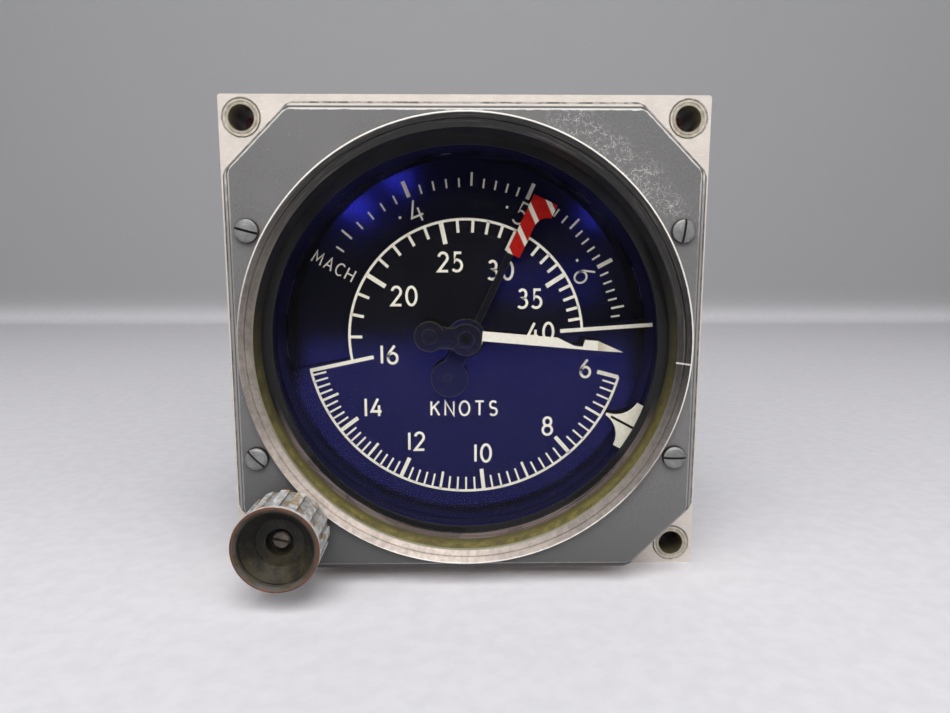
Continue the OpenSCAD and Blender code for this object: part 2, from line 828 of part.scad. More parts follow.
module aneroid_stack() {
    color("sandybrown") translate([aneroid_x, capsule_y, 0]) {
        for (z = [aneroid_base + 4.2, aneroid_base + 10.8])
            translate([0, 0, z]) rotate_extrude() capsule_profile(aneroid_r, 0.5, 2.5, 0.25);
        translate([0, 0, aneroid_base - 2]) cylinder(h = 14, r = 2.2);
    }
}

module aneroid_post() {
    foot_z = aneroid_base + 14.4;
    pin = sleeve_pin();
    fork_half = 2.6;
    color("gray") {
        translate([aneroid_x, capsule_y, foot_z]) {
            cylinder(h = 1.1, r = 2.5);
            cylinder(h = pin[1] - foot_z - 1, r = post_r);
        }
        slab(fork_y, fork_y + fork_t) difference() {
            translate([pin[0] - fork_half, pin[1] - 2.6]) square([2 * fork_half, 5]);
            translate([pin[0] - 1.2, pin[1] - slot_half]) square([2.4, 2 * slot_half]);
        }
    }
}

module aneroid_bracket() {
    plate_x = 4;
    plate_len = 19;
    color("silver") difference() {
        union() {
            translate([plate_x, mid_plate_y + movement_plate_t, aneroid_base - 2]) cube([plate_len, 36, 2]);
            translate([plate_x, mid_plate_y + movement_plate_t, aneroid_base - 2]) cube([plate_len, 2, 8]);
        }
        translate([aneroid_x, capsule_y, aneroid_base - 3]) cylinder(h = 4, r = 2.2);
        for (i = [2, 3]) rod(20, 30, stud_r + 2 * thread_gap, bracket_holes()[i]);
    }
}

module bracket_screws() {
    foot_back = mid_plate_y + movement_plate_t + 2;
    color("gray") for (p = bracket_holes())
        rear_screw(foot_back + 1, mid_plate_y + 0.2, 2, 1, stud_r, p, p[1] * 9);
}

module case_flange() {
    color("dimgray") difference() {
        slab(case_front, case_front + case_flange_t) octagon(flange_w, body_clip);
        rod(case_front - 1, case_front + case_flange_t + 1, case_r - case_wall);
        for (s = corner_signs)
            rod(case_front - 1, case_front + case_flange_t + 1, plate_screw_r + 2 * thread_gap,
                [s[0] * case_screw_at[0], s[1] * case_screw_at[1]]);
    }
}

module case_tube() {
    inner_r = case_r - case_wall;
    rear_ring = 5;
    color("dimgray") difference() {
        rod(case_front + case_flange_t, case_back, case_r);
        rod(case_front, case_back - rear_ring, inner_r);
        rod(case_front, case_back + 1, inner_r - 3.5);
        for (p = cover_screws()) rod(case_back - rear_ring + 1, case_back + 1, 1 + thread_gap, p);
    }
}

function cover_screws() = [for (i = [0 : 5]) clock(case_r - case_wall - 1.75, 30 + 60 * i)];

module case_gasket() {
    color("black") slab(housing_back, case_front) difference() {
        octagon(flange_w - 0.6, body_clip - 0.3);
        circle(case_r - case_wall);
        for (s = corner_signs) translate([s[0] * case_screw_at[0], s[1] * case_screw_at[1]])
            circle(plate_screw_r + 2 * thread_gap);
    }
}

module case_screws() {
    color("gray") for (s = corner_signs)
        rear_screw(case_front + case_flange_t + 1.5, 5, 2.2, 1.5, plate_screw_r,
            [s[0] * case_screw_at[0], s[1] * case_screw_at[1]], s[0] * 20 + s[1] * 35);
}

module rear_cover() {
    color("dimgray") difference() {
        union() {
            turned() polygon([
                [0, cover_y], [case_r, cover_y], [case_r, cover_y + cover_t - 0.8],
                [case_r - 0.8, cover_y + cover_t], [0, cover_y + cover_t]
            ]);
            rod(cover_y - 3, cover_y, case_r - case_wall - 4);
        }
        for (s = [-1, 1]) rod(cover_y - 4, cover_y + cover_t + 1, 4.5 + gap, [s * union_x, 0]);
        for (p = cover_screws()) rod(cover_y - 1, cover_y + cover_t + 1, 1 + 2 * thread_gap, p);
    }
}

module rear_gasket() {
    color("black") slab(case_back, cover_y) difference() {
        circle(case_r);
        circle(case_r - case_wall - 3.5);
        for (p = cover_screws()) translate(p) circle(1 + 2 * thread_gap);
    }
}

module rear_cover_screws() {
    color("gray") for (p = cover_screws())
        rear_screw(cover_y + cover_t + 1.3, case_back - 3.5, 1.9, 1.3, 1, p, p[0] * 11);
}

// Hexagonal pressure union: a shank through the cover, a hexagon and a stub with a bore
module pressure_union(x) {
    hex_across = 14;
    hex_y = cover_y + cover_t;
    stub_r = 4.9;
    bore_r = 2.2;
    color("darkkhaki") difference() {
        union() {
            rod(cover_y - 4, hex_y, 4.5, [x, 0]);
            slab(hex_y, hex_y + 4.5) translate([x, 0]) circle(hex_across / sqrt(3), $fn = 6);
            rod(hex_y, hex_y + union_len, stub_r, [x, 0]);
        }
        rod(cover_y - 5, hex_y + union_len + 1, bore_r, [x, 0]);
    }
}

module pitot_union() {
    pressure_union(-union_x);
}

module static_union() {
    pressure_union(union_x);
}

module pitot_pipe() {
    start = [-union_x, cover_y - 4.1, 0];
    first_bend = [-union_x, cover_y - 10, 0];
    second_bend = [pipe_x, cover_y - 20, capsule_z];
    color("peru") {
        pipe_run(start, first_bend, pipe_r);
        pipe_run(first_bend, second_bend, pipe_r);
        pipe_run(second_bend, [pipe_x, capsule_y, capsule_z], pipe_r);
    }
}

flange_housing();
front_plate();
plate_screws();
bezel_ring();
glass();
glass_gasket();
corner_bushes();
lock_inserts();
knob();
knob_screw();
knob_shaft();
knob_pinion();
knob_bush();
shaft_seal();
shaft_clip();
bug_ring();
speed_bug();
dial_carrier();
dial();
mach_disc();
limit_pointer();
airspeed_pointer();
altitude_sleeve();
airspeed_staff();
movement_front_plate();
movement_mid_plate();
movement_rear_plate();
front_pillars();
rear_pillars();
pillar_screws();
movement_screws();
pivot_bushes();
airspeed_sector();
airspeed_rocking_shaft();
altitude_sector();
altitude_rocking_shaft();
airspeed_hairspring();
altitude_hairspring();
spring_studs();
airspeed_capsule();
airspeed_post();
airspeed_bracket();
aneroid_stack();
aneroid_post();
aneroid_bracket();
bracket_screws();
case_flange();
case_tube();
case_gasket();
case_screws();
rear_cover();
rear_gasket();
rear_cover_screws();
pitot_union();
static_union();
pitot_pipe();
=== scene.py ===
"""Airspeed and Mach indicator: finishes, dial print, union threads, and the stage it is seen on.

Finishes and print are in millimetres, threads and the stage in metres. X is right, Y goes back into the case,
Z is up.
"""

import math

import bpy
import numpy as np
from bpy.props import FloatProperty, FloatVectorProperty, PointerProperty
from bpy.types import Operator, Panel, PropertyGroup
from mathutils import Matrix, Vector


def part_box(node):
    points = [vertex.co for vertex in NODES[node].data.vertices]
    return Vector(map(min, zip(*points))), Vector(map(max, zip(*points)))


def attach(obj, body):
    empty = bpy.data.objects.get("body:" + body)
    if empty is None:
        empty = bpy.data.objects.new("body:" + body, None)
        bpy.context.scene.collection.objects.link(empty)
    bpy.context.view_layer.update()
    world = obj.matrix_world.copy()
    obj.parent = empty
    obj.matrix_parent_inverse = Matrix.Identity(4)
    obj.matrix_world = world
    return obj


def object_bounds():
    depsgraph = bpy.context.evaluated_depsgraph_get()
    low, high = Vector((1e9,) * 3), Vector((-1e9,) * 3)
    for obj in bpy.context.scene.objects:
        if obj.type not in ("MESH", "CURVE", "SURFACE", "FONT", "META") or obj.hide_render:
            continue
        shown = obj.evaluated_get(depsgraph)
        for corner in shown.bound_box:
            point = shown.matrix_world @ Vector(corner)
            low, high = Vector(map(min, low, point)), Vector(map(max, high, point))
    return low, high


bl_info = {
    "name": "Airspeed Indicator",
    "version": (1, 0, 0),
    "blender": (4, 5, 0),
    "location": "View3D > Sidebar > Airspeed Indicator",
    "description": "Finishes, prints and stages an airspeed and Mach indicator",
    "category": "Object",
}

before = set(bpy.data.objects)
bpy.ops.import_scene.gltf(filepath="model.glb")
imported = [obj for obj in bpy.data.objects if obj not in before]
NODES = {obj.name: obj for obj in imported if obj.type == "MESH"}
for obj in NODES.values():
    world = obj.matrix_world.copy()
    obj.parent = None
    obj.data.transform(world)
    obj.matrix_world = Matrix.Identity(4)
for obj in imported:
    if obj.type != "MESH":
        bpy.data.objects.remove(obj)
CAD_BOX = [list(corner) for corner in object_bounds()]
MM = 0.001

# Front faces that carry print, in millimetres behind the ears' front face
DIAL_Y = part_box("dial")[0][1] / MM
DISC_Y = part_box("mach_disc")[0][1] / MM

# Knots and where they stand on the dial, in degrees clockwise from the top
KNOT_MARKS = (
    (60, 104.8), (80, 138.5), (100, 173.0), (120, 205.7), (140, 233.2), (160, 258.0),
    (200, 302.9), (250, 347.8), (300, 384.9), (350, 417.5), (400, 446.1),
)
# Numerals of the knots scale, in tens of knots, and their middles on the dial
KNOT_NUMERALS = (
    ("6", 21.8, -5.7), ("8", 15.0, -16.5), ("10", 3.1, -21.6), ("12", -9.2, -19.3), ("14", -17.0, -12.9),
    ("16", -13.9, -3.1), ("20", -11.1, 7.5), ("25", -2.8, 13.55), ("30", 6.2, 12.1), ("35", 11.5, 7.0),
    ("40", 13.5, 1.0),
)
# Where the scale changes from its outer circle to its inner one, and the radii of the two
SCALE_CHANGE = 258.0
OUTER_SCALE, INNER_SCALE = 28.8, 21.05
# Mach scale: direction where the logarithm is nought, degrees to each unit of it, and the number's shift
MACH_ZERO, MACH_SPREAD, MACH_SHIFT = 522.07, 224.9, 0.041
# Step in height between strips of ink that cross, and the share of the ink's thickness that is solid, so that
# its back stays clear of the face
INK_STEP, INK_SOLID = 0.0015, 0.95

# Directions at rest, in degrees clockwise from the top, and the scribed mark's on the ring
POINTER_REST = 94.9
LIMIT_REST = 25.2
BUG_REST = 118.3
MARK_AT = 94.5
# How far out the limit pointer's blade starts, and where the airspeed pointer is folded
BLADE_FROM = 16.9
FOLD_AT = 23.4

# Axis of the knob and its front face, and how far the corner bushes stand from the middle
KNOB_AT = (-29.63, -30.33)
KNOB_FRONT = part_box("knob")[0][1] / MM
HOLE_AT = 37.465
# Octagons of the plate and of the land behind it: across flats, and from the middle to a corner flat
PLATE_ACROSS, PLATE_CLIP = 74.9, 46.3
LAND_ACROSS, LAND_CLIP = 77.4, 47.1
# Tone of the clear glass
CLEAR_GLASS = (0.30, 0.31, 0.42)

# Camera: focal length and image width in pixels, its turns about X, Y and Z in degrees, and its place
FOCAL, WIDE = 700, 950
CAMERA_TURNS = (8.322, 0.816, -0.019)
CAMERA_AT = (-0.00017, -0.12178, 0.01494)
# Lights that show as blue glints: what they face, their colour, and the place, width, power, height and roll
GLINT_FACING = (0.0, 0.0, 0.02)
GLINT_BLUE = (0.35, 0.36, 1.0)
GLINTS = {
    "low left glint": ((-0.186, -1.0, 0.095), 0.078, 0.054, 0.030, -23),
    "high left glint": ((-0.113, -1.0, 0.135), 0.056, 0.031, 0.030, -27),
    "right glint": ((0.212, -1.0, 0.084), 0.045, 0.026, 0.030, 31),
    "right patch": ((0.134, -1.0, -0.0295), 0.162, 0.020, 0.065, 0),
}


def colour(name, about, value):
    """A colour that a user may change."""
    return FloatVectorProperty(name=name, description=about, subtype="COLOR", size=3, min=0, max=1,
                               default=value)


def length(name, about, value):
    """A length in metres that a user may change."""
    return FloatProperty(name=name, description=about, unit="LENGTH", min=0, default=value, precision=5)


class IndicatorFinish(PropertyGroup):
    """Colours of the indicator's finishes."""

    enamel: colour("Enamel", "Grey enamel of the front plate", (0.138, 0.135, 0.132))
    aluminium: colour("Aluminium", "Bare aluminium of the front casting", (0.70, 0.64, 0.58))
    ring: colour("Ring", "Bare metal of the bezel ring", (0.57, 0.485, 0.425))
    olive: colour("Olive", "Old paint on the ring's inner wall", (0.19, 0.162, 0.045))
    cream: colour("Cream", "Cream of the print and the pointers", (0.88, 0.84, 0.69))
    signal_red: colour("Signal red", "Red of the limit pointer", (0.36, 0.012, 0.004))
    glass_sheen: colour("Glass sheen", "Reflections behind the coated glass", (0.10, 0.105, 0.90))
    case: colour("Case", "Satin black of the case", (0.018, 0.018, 0.02))
    backdrop: colour("Backdrop", "Grey wall behind the floor", (0.39, 0.39, 0.40))
    floor: colour("Floor", "Pale floor", (0.75, 0.735, 0.765))


class IndicatorSize(PropertyGroup):
    """Sizes of the print and the threads."""

    numeral: length("Numeral height", "Height of the knots numerals", 0.0037)
    stroke: length("Numeral stroke", "Line width of the knots numerals", 0.00046)
    mach_numeral: length("Mach numeral height", "Height of the Mach numerals", 0.0042)
    mach_stroke: length("Mach stroke", "Line width of the Mach numerals", 0.00034)
    ink: length("Ink thickness", "Thickness of the print", 0.00003)
    thread_pitch: length("Thread pitch", "Pitch of the union threads", 0.00094)
    thread_depth: length("Thread depth", "Height of the union threads", 0.00035)


class Finish:
    """A material while it is built: its shader, and Object coordinates in millimetres."""

    def __init__(self, name):
        self.material = bpy.data.materials.new(name)
        self.material.use_nodes = True
        self.nodes = self.material.node_tree.nodes
        self.shader = self.nodes["Principled BSDF"]
        coords = self.nodes.new("ShaderNodeTexCoord")
        scaled = self.nodes.new("ShaderNodeVectorMath")
        scaled.operation = "SCALE"
        self.fill(scaled, Vector=coords.outputs["Object"], Scale=1 / MM)
        self.place = scaled.outputs[0]
        split = self.nodes.new("ShaderNodeSeparateXYZ")
        self.wire(self.place, split.inputs[0])
        self.x, self.y, self.z = split.outputs

    def wire(self, source, socket):
        """Links a socket, or sets a constant on it."""
        if isinstance(source, bpy.types.NodeSocket):
            self.material.node_tree.links.new(source, socket)
        elif socket.type == "RGBA":
            socket.default_value = (*source[:3], 1)
        else:
            socket.default_value = source

    def fill(self, node, **values):
        """Links or sets a node's sockets by name, with an underscore for each space."""
        for name, value in values.items():
            self.wire(value, node.inputs[name.replace("_", " ")])

    def set(self, **values):
        """Links or sets the shader's sockets."""
        self.fill(self.shader, **values)

    def math(self, operation, a, b=0.0, c=0.0):
        """One Math node."""
        node = self.nodes.new("ShaderNodeMath")
        node.operation = operation
        for value, socket in zip((a, b, c), node.inputs):
            self.wire(value, socket)
        return node.outputs[0]

    def along(self, degrees):
        """(u, v) of a point: u out along a direction clockwise from the top, v across it, clockwise."""
        s, c = math.sin(math.radians(degrees)), math.cos(math.radians(degrees))
        u = self.math("MULTIPLY_ADD", self.x, s, self.math("MULTIPLY", self.z, c))
        v = self.math("MULTIPLY_ADD", self.x, c, self.math("MULTIPLY", self.z, -s))
        return u, v

    def distance(self, u, v, at):
        """Distance from a point of the (u, v) plane."""
        du = self.math("SUBTRACT", u, at[0])
        dv = self.math("SUBTRACT", v, at[1])
        return self.math("SQRT", self.math("MULTIPLY_ADD", du, du, self.math("MULTIPLY", dv, dv)))

    def radius(self, at=(0.0, 0.0)):
        """Distance from a line along Y."""
        return self.distance(self.x, self.z, at)

    def angle(self):
        """Angle about the Y axis, in turns."""
        return self.math("MULTIPLY", self.math("ARCTAN2", self.z, self.x), 0.5 / math.pi)

    def step(self, value, low, high):
        """0 below low and 1 above high, or the other way round where low is the larger."""
        node = self.nodes.new("ShaderNodeMapRange")
        node.interpolation_type = "SMOOTHSTEP"
        ends = (1.0, 0.0) if low > high else (0.0, 1.0)
        self.fill(node, Value=value, From_Min=min(low, high), From_Max=max(low, high), To_Min=ends[0],
                  To_Max=ends[1])
        return node.outputs["Result"]

    def noise(self, size, detail=4.0, rough=0.55, stretch=(1, 1, 1), at=None, warp=0.0):
        """Noise whose features are about size across, stretched along X, Y and Z."""
        node = self.nodes.new("ShaderNodeTexNoise")
        mapping = self.nodes.new("ShaderNodeMapping")
        place = self.place if at is None else at
        self.fill(mapping, Vector=place, Scale=[1 / (size * s) for s in stretch])
        self.fill(node, Vector=mapping.outputs[0], Scale=1, Detail=detail, Roughness=rough, Distortion=warp)
        return node.outputs["Fac"]

    def polar(self, radius, turn, across, around):
        """Coordinates for a pattern that runs round an axis: radius over across, and turns times around."""
        node = self.nodes.new("ShaderNodeCombineXYZ")
        self.wire(self.math("DIVIDE", radius, across), node.inputs[0])
        self.wire(self.math("MULTIPLY", turn, around), node.inputs[1])
        self.wire(self.math("DIVIDE", self.y, across), node.inputs[2])
        return node.outputs[0]

    def cells(self, size, feature="F1", at=None):
        """Distance from the middles or the edges of cells about size across."""
        node = self.nodes.new("ShaderNodeTexVoronoi")
        node.feature = feature
        self.fill(node, Vector=self.place if at is None else at, Scale=1 / size)
        return node.outputs["Distance"]

    def cracks(self, size, width, at=None):
        """Thin lines between cells about size across."""
        return self.step(self.cells(size, "DISTANCE_TO_EDGE", at), width / size, 0.0)

    def mix(self, factor, a, b):
        """Blend of two colours."""
        node = self.nodes.new("ShaderNodeMix")
        node.data_type = "RGBA"
        self.wire(factor, node.inputs["Factor"])
        sockets = [s for s in node.inputs if s.type == "RGBA"]
        self.wire(a, sockets[0])
        self.wire(b, sockets[1])
        return next(s for s in node.outputs if s.type == "RGBA")

    def both(self, a, b):
        """Product of two masks."""
        return self.math("MULTIPLY", a, b)

    def either(self, a, b):
        """Larger of two masks."""
        return self.math("MAXIMUM", a, b)

    def fade(self, mask, by):
        """A mask made weaker."""
        return self.math("MULTIPLY", mask, by)

    def between(self, value, low, high, soft=0.05):
        """1 where value lies between two limits."""
        return self.both(self.step(value, low - soft, low + soft), self.step(value, high + soft, high - soft))

    def blend(self, base, spread, factor):
        """A number that wanders from base by up to spread."""
        return self.math("MULTIPLY_ADD", factor, spread, base)

    def relief(self, height, depth):
        """Bump of a height map, depth millimetres deep."""
        node = self.nodes.new("ShaderNodeBump")
        self.fill(node, Height=height, Distance=depth * MM)
        self.set(Normal=node.outputs[0])


def paint(finish, *names):
    """Gives CAD nodes a finish."""
    for name in names:
        slots = NODES[name].data.materials
        slots.clear()
        slots.append(finish.material)


def dim(rgb, by):
    """A colour made darker or lighter."""
    return tuple(min(1.0, c * by) for c in rgb)


def octagon_reach(f, across, clip):
    """How far a point lies outside an octagon, or less than nothing inside it."""
    ax, az = f.math("ABSOLUTE", f.x), f.math("ABSOLUTE", f.z)
    flat = f.math("SUBTRACT", f.math("MAXIMUM", ax, az), across / 2)
    corner = f.math("SUBTRACT", f.math("MULTIPLY", f.math("ADD", ax, az), math.sqrt(0.5)), clip)
    return f.math("MAXIMUM", flat, corner)


def grey_enamel(tint):
    """Satin grey enamel with a fine orange peel, rubbed bare at the octagon's edges and crazed at the upper
    right."""
    f = Finish("grey enamel")
    reach = octagon_reach(f, PLATE_ACROSS, PLATE_CLIP)
    patchy = f.noise(1.4, 5)
    rubbed = f.step(f.blend(reach, 0.5, patchy), -0.16, 0.0)
    rubbed = f.both(rubbed, f.blend(0.25, 0.75, f.step(f.z, 14.0, 30.0)))
    fine = f.noise(0.35, 3)
    broad = f.noise(14, 3)
    base = f.mix(f.step(fine, 0.35, 0.65), dim(tint, 0.92), dim(tint, 1.10))
    base = f.mix(f.step(broad, 0.4, 0.7), base, dim(tint, 1.12))
    # Painted shade: darker towards the bottom, most at the lower left under the knob.
    low, _ = f.along(190)
    base = f.mix(f.step(low, 8, 44), base, dim(tint, 0.5))
    warped = f.nodes.new("ShaderNodeVectorMath")
    warped.operation = "ADD"
    wander = f.nodes.new("ShaderNodeTexNoise")
    f.fill(wander, Vector=f.place, Scale=1.3)
    f.wire(f.place, warped.inputs[0])
    f.wire(wander.outputs["Color"], warped.inputs[1])
    crazed = f.either(f.cracks(0.8, 0.032, warped.outputs[0]), f.cracks(1.9, 0.045, warped.outputs[0]))
    crazed = f.both(crazed, f.step(f.noise(0.9, 3), 0.38, 0.52))
    crazed = f.both(crazed, f.step(f.noise(3.5, 2), 0.30, 0.46))
    band = f.step(f.blend(f.radius(), 5.0, f.noise(4, 3)), 45.2, 42.4)
    crazed = f.both(f.both(crazed, band), f.both(f.step(f.x, 10, 17), f.step(f.z, 17, 23)))
    specks = f.both(f.step(f.noise(0.3, 2), 0.70, 0.76), f.step(f.noise(5, 2), 0.55, 0.65))
    pale = f.either(f.fade(crazed, 0.75), f.fade(specks, 0.5))
    base = f.mix(pale, base, (0.62, 0.61, 0.58))
    base = f.mix(rubbed, base, (0.70, 0.68, 0.65))
    f.set(Base_Color=base, Metallic=f.fade(rubbed, 0.3), Roughness=f.blend(0.42, 0.16, fine))
    f.relief(f.blend(fine, 0.4, pale), 0.012)
    return f


def bare_aluminium(tint):
    """Bare cast and milled aluminium: cloudy, faintly milled, with grime round the bushes, greyer over the
    land but for its top and dark grey along its lower edge, dark lines along the land's edge and the plate's
    joint, and black paint inside."""
    f = Finish("bare aluminium")
    cloud = f.noise(5, 5)
    grain = f.noise(0.25, 4, stretch=(6, 1, 1))
    base = f.mix(f.step(cloud, 0.35, 0.7), dim(tint, 0.9), tint)
    base = f.mix(f.step(grain, 0.5, 0.75), base, dim(tint, 1.1))
    off = bush_offset(f)
    grime = f.both(f.step(off, 3.5, 3.2), f.step(f.noise(0.9, 4), 0.3, 0.6))
    raised = f.step(f.y, -6.0, -6.6)
    joint = f.both(f.step(octagon_reach(f, PLATE_ACROSS, PLATE_CLIP), 0.62, 0.46), raised)
    rim = f.both(f.step(octagon_reach(f, LAND_ACROSS, LAND_CLIP), -0.42, -0.36), raised)
    worn = f.step(f.noise(1.6, 4), 0.40, 0.62)
    lines = f.either(f.fade(joint, 0.9), f.both(f.blend(0.4, 0.5, worn), rim))
    base = f.mix(f.fade(grime, 0.55), base, (0.14, 0.12, 0.10))
    lower_tone = f.both(raised, f.step(f.blend(f.z, 6.0, worn), 36.0, 22.0))
    base = f.mix(f.fade(lower_tone, 0.85), base, (0.24, 0.235, 0.225))
    # The land's lower edge is made dark grey.
    grey_land_bottom = f.both(raised, f.step(f.z, -36.6, -37.4))
    base = f.mix(grey_land_bottom, base, (0.10, 0.098, 0.095))
    base = f.mix(lines, base, (0.07, 0.07, 0.068))
    inside = f.step(f.radius(), 35.9, 35.6)
    base = f.mix(inside, base, (0.008, 0.008, 0.009))
    f.set(Base_Color=base, Metallic=f.blend(0.3, -0.3, inside), Roughness=f.blend(0.45, 0.2, cloud))
    f.relief(f.blend(grain, 0.6, cloud), 0.012)
    return f


def ring_metal(tint, olive):
    """Turned bare metal, brushed round the axis: bright below, darkened above by painted shade, with a
    painted highlight along its outer edge and, below, its inner edge. Old olive paint on the inner wall,
    dirty in patches, is painted black as shade above and darker deep in the recess."""
    f = Finish("ring metal")
    r = f.radius()
    turn = f.angle()
    brushed = f.noise(1, 3, at=f.polar(r, turn, 0.09, 24))
    radial = f.noise(1, 4, at=f.polar(r, turn, 3.0, 520))
    dull = f.noise(1.1, 6, 0.65)
    broad = f.noise(9, 3)
    # Painted shade: the face darkens towards the top, away from the light above, and stays bright below.
    low, _ = f.along(202.0)
    height = f.math("SUBTRACT", f.blend(f.math("MULTIPLY", dull, 8.0), 14.0, broad), low)
    shaded_above = f.fade(f.math("ADD", f.step(height, -25.0, -11.0), f.step(height, -19.0, 30.0)), 0.5)
    bright = f.mix(f.step(dull, 0.35, 0.66), dim(tint, 0.72), dim(tint, 1.08))
    bright = f.mix(f.fade(f.step(radial, 0.58, 0.72), 0.3), bright, dim(tint, 0.5))
    dark = f.mix(f.step(dull, 0.4, 0.7), (0.008, 0.0075, 0.0068), (0.018, 0.0165, 0.0145))
    base = f.mix(shaded_above, bright, dark)
    base = f.mix(f.fade(f.step(brushed, 0.55, 0.75), 0.35), base, dim(tint, 0.9))
    # Painted highlight: a bright line on the outer edge towards the upper right and at the bottom, and a
    # paler inner edge below, where the edges catch the light; the scribed mark shares the colour.
    lit, _ = f.along(20.0)
    worn = f.either(f.step(lit, -22.0, 9.0), f.step(f.z, -20.0, -28.0))
    edge = f.both(f.step(f.blend(r, 0.12, dull), 36.62, 36.72), worn)
    lip = f.both(f.between(r, 34.5, 34.82, 0.06), f.step(shaded_above, 1.0, 0.4))
    out, across = f.along(MARK_AT)
    mark = f.both(f.step(f.math("ABSOLUTE", across), 0.17, 0.09), f.step(out, 0.0, 1.0))
    base = f.mix(f.either(edge, f.fade(mark, 0.7)), base, (0.86, 0.82, 0.76))
    base = f.mix(lip, base, (0.19, 0.18, 0.115))
    wall = f.both(f.step(f.y, -8.74, -8.6), f.step(r, 35.1, 34.8))
    # Painted shade on the inner wall: black above, where it faces down, olive paint below, and the olive
    # darker deep in the recess.
    below = f.step(f.blend(f.z, 12.0, dull), 22.0, -22.0)
    olive_mix = f.mix(f.step(dull, 0.4, 0.62), dim(olive, 0.7), dim(olive, 1.15))
    olive_mix = f.mix(f.step(f.noise(0.3, 3), 0.6, 0.72), olive_mix, dim(olive, 1.9))
    olive_mix = f.mix(f.step(f.y, -7.6, -6.3), olive_mix, dim(olive, 0.5))
    dirt = f.fade(f.step(f.noise(2.5, 5), 0.45, 0.65), 0.5)
    olive_mix = f.mix(dirt, olive_mix, (0.062, 0.043, 0.020))
    olive_and_shade = f.mix(below, (0.010, 0.010, 0.010), olive_mix)
    base = f.mix(wall, base, olive_and_shade)
    f.set(
        Base_Color=base,
        Metallic=f.math("SUBTRACT", 0.45, f.fade(f.either(wall, shaded_above), 0.4)),
        Roughness=f.blend(0.34, 0.25, dull),
    )
    f.relief(f.blend(brushed, 0.7, radial), 0.012)
    return f


def coated_glass(tint):
    """Flat coated glass: nearly clear, with specks of dust and, above, a few hairs."""
    f = Finish("coated glass")
    dust = f.both(f.step(f.cells(2.3), 0.045, 0.02), f.step(f.noise(7, 2), 0.5, 0.58))
    grit = f.both(f.step(f.cells(1.1), 0.075, 0.03), f.step(f.noise(4, 3), 0.46, 0.6))
    dust = f.either(dust, f.both(grit, f.step(f.z, 12.0, -18.0)))
    hairs = f.both(f.cracks(11, 0.035), f.step(f.noise(4.5, 2), 0.63, 0.68))
    hairs = f.both(hairs, f.step(f.z, 2.0, 8.0))
    dirt = f.fade(f.either(dust, f.fade(hairs, 0.35)), 0.75)
    f.set(
        Base_Color=f.mix(dirt, tint, (0.55, 0.53, 0.5)),
        Metallic=f.math("SUBTRACT", 1.0, dirt),
        Roughness=f.blend(0.10, 0.8, dirt),
        Alpha=f.blend(0.004, 0.45, dirt),
    )
    f.material.surface_render_method = "BLENDED"
    return f


def plain(name, tint, rough, metal=0.0, size=1.0, vary=0.2, depth=0.01):
    """A worn plain finish: two tones in cloudy patches, a matching change of gloss, and a little relief."""
    f = Finish(name)
    cloud = f.noise(size * 4, 5)
    fine = f.noise(size * 0.4, 3)
    base = f.mix(f.step(cloud, 0.35, 0.68), dim(tint, 1 - vary), dim(tint, 1 + vary))
    base = f.mix(f.step(fine, 0.55, 0.75), base, dim(tint, 1 + 1.6 * vary))
    f.set(Base_Color=base, Metallic=metal, Roughness=f.blend(rough - 0.06, 0.14, cloud))
    f.relief(fine, depth)
    return f


def aged_rubber():
    """Rubber of the glass's gasket, finely lined: black above and along its bore as painted shade, and brown
    with dust below, made brighter as painted light."""
    f = Finish("aged rubber")
    cloud = f.noise(2.4, 5)
    fine = f.noise(0.25, 3)
    r = f.radius()
    lines = f.noise(1, 2, at=f.polar(r, f.angle(), 0.16, 9))
    # Painted light and shade: brown with dust below, made brighter as painted light, and black above as
    # painted shade.
    lower_tone = f.step(f.blend(f.z, 8.0, cloud), -4.0, -18.0)
    base = f.mix(lower_tone, (0.0080, 0.0076, 0.0070), (0.26, 0.20, 0.18))
    base = f.mix(f.fade(f.step(fine, 0.55, 0.75), 0.3), base, (0.07, 0.06, 0.055))
    base = f.mix(f.fade(f.step(lines, 0.46, 0.6), 0.6), base, (0.012, 0.0105, 0.0105))
    # Painted shade: black along the bore.
    base = f.mix(f.step(f.blend(r, 0.3, cloud), 34.05, 33.75), base, (0.006, 0.006, 0.0065))
    f.set(Base_Color=base, Roughness=f.blend(0.62, 0.14, cloud))
    f.relief(fine, 0.01)
    return f


def domed_screw():
    """Dull grey plating, with painted shade in the slot and round the foot of the head."""
    f = Finish("domed screw")
    cloud = f.noise(1.6, 5)
    fine = f.noise(0.2, 3)
    base = f.mix(f.step(cloud, 0.35, 0.68), (0.15, 0.15, 0.148), (0.23, 0.232, 0.23))
    base = f.mix(f.step(fine, 0.55, 0.75), base, (0.30, 0.30, 0.295))
    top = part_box("plate_screws")[0][1] / MM
    # Painted shade: dark below the top of the head, in the slot and round its foot.
    base = f.mix(f.step(f.y, top + 0.42, top + 0.52), base, (0.030, 0.022, 0.016))
    f.set(Base_Color=base, Metallic=0.3, Roughness=f.blend(0.38, 0.14, cloud))
    f.relief(fine, 0.01)
    return f


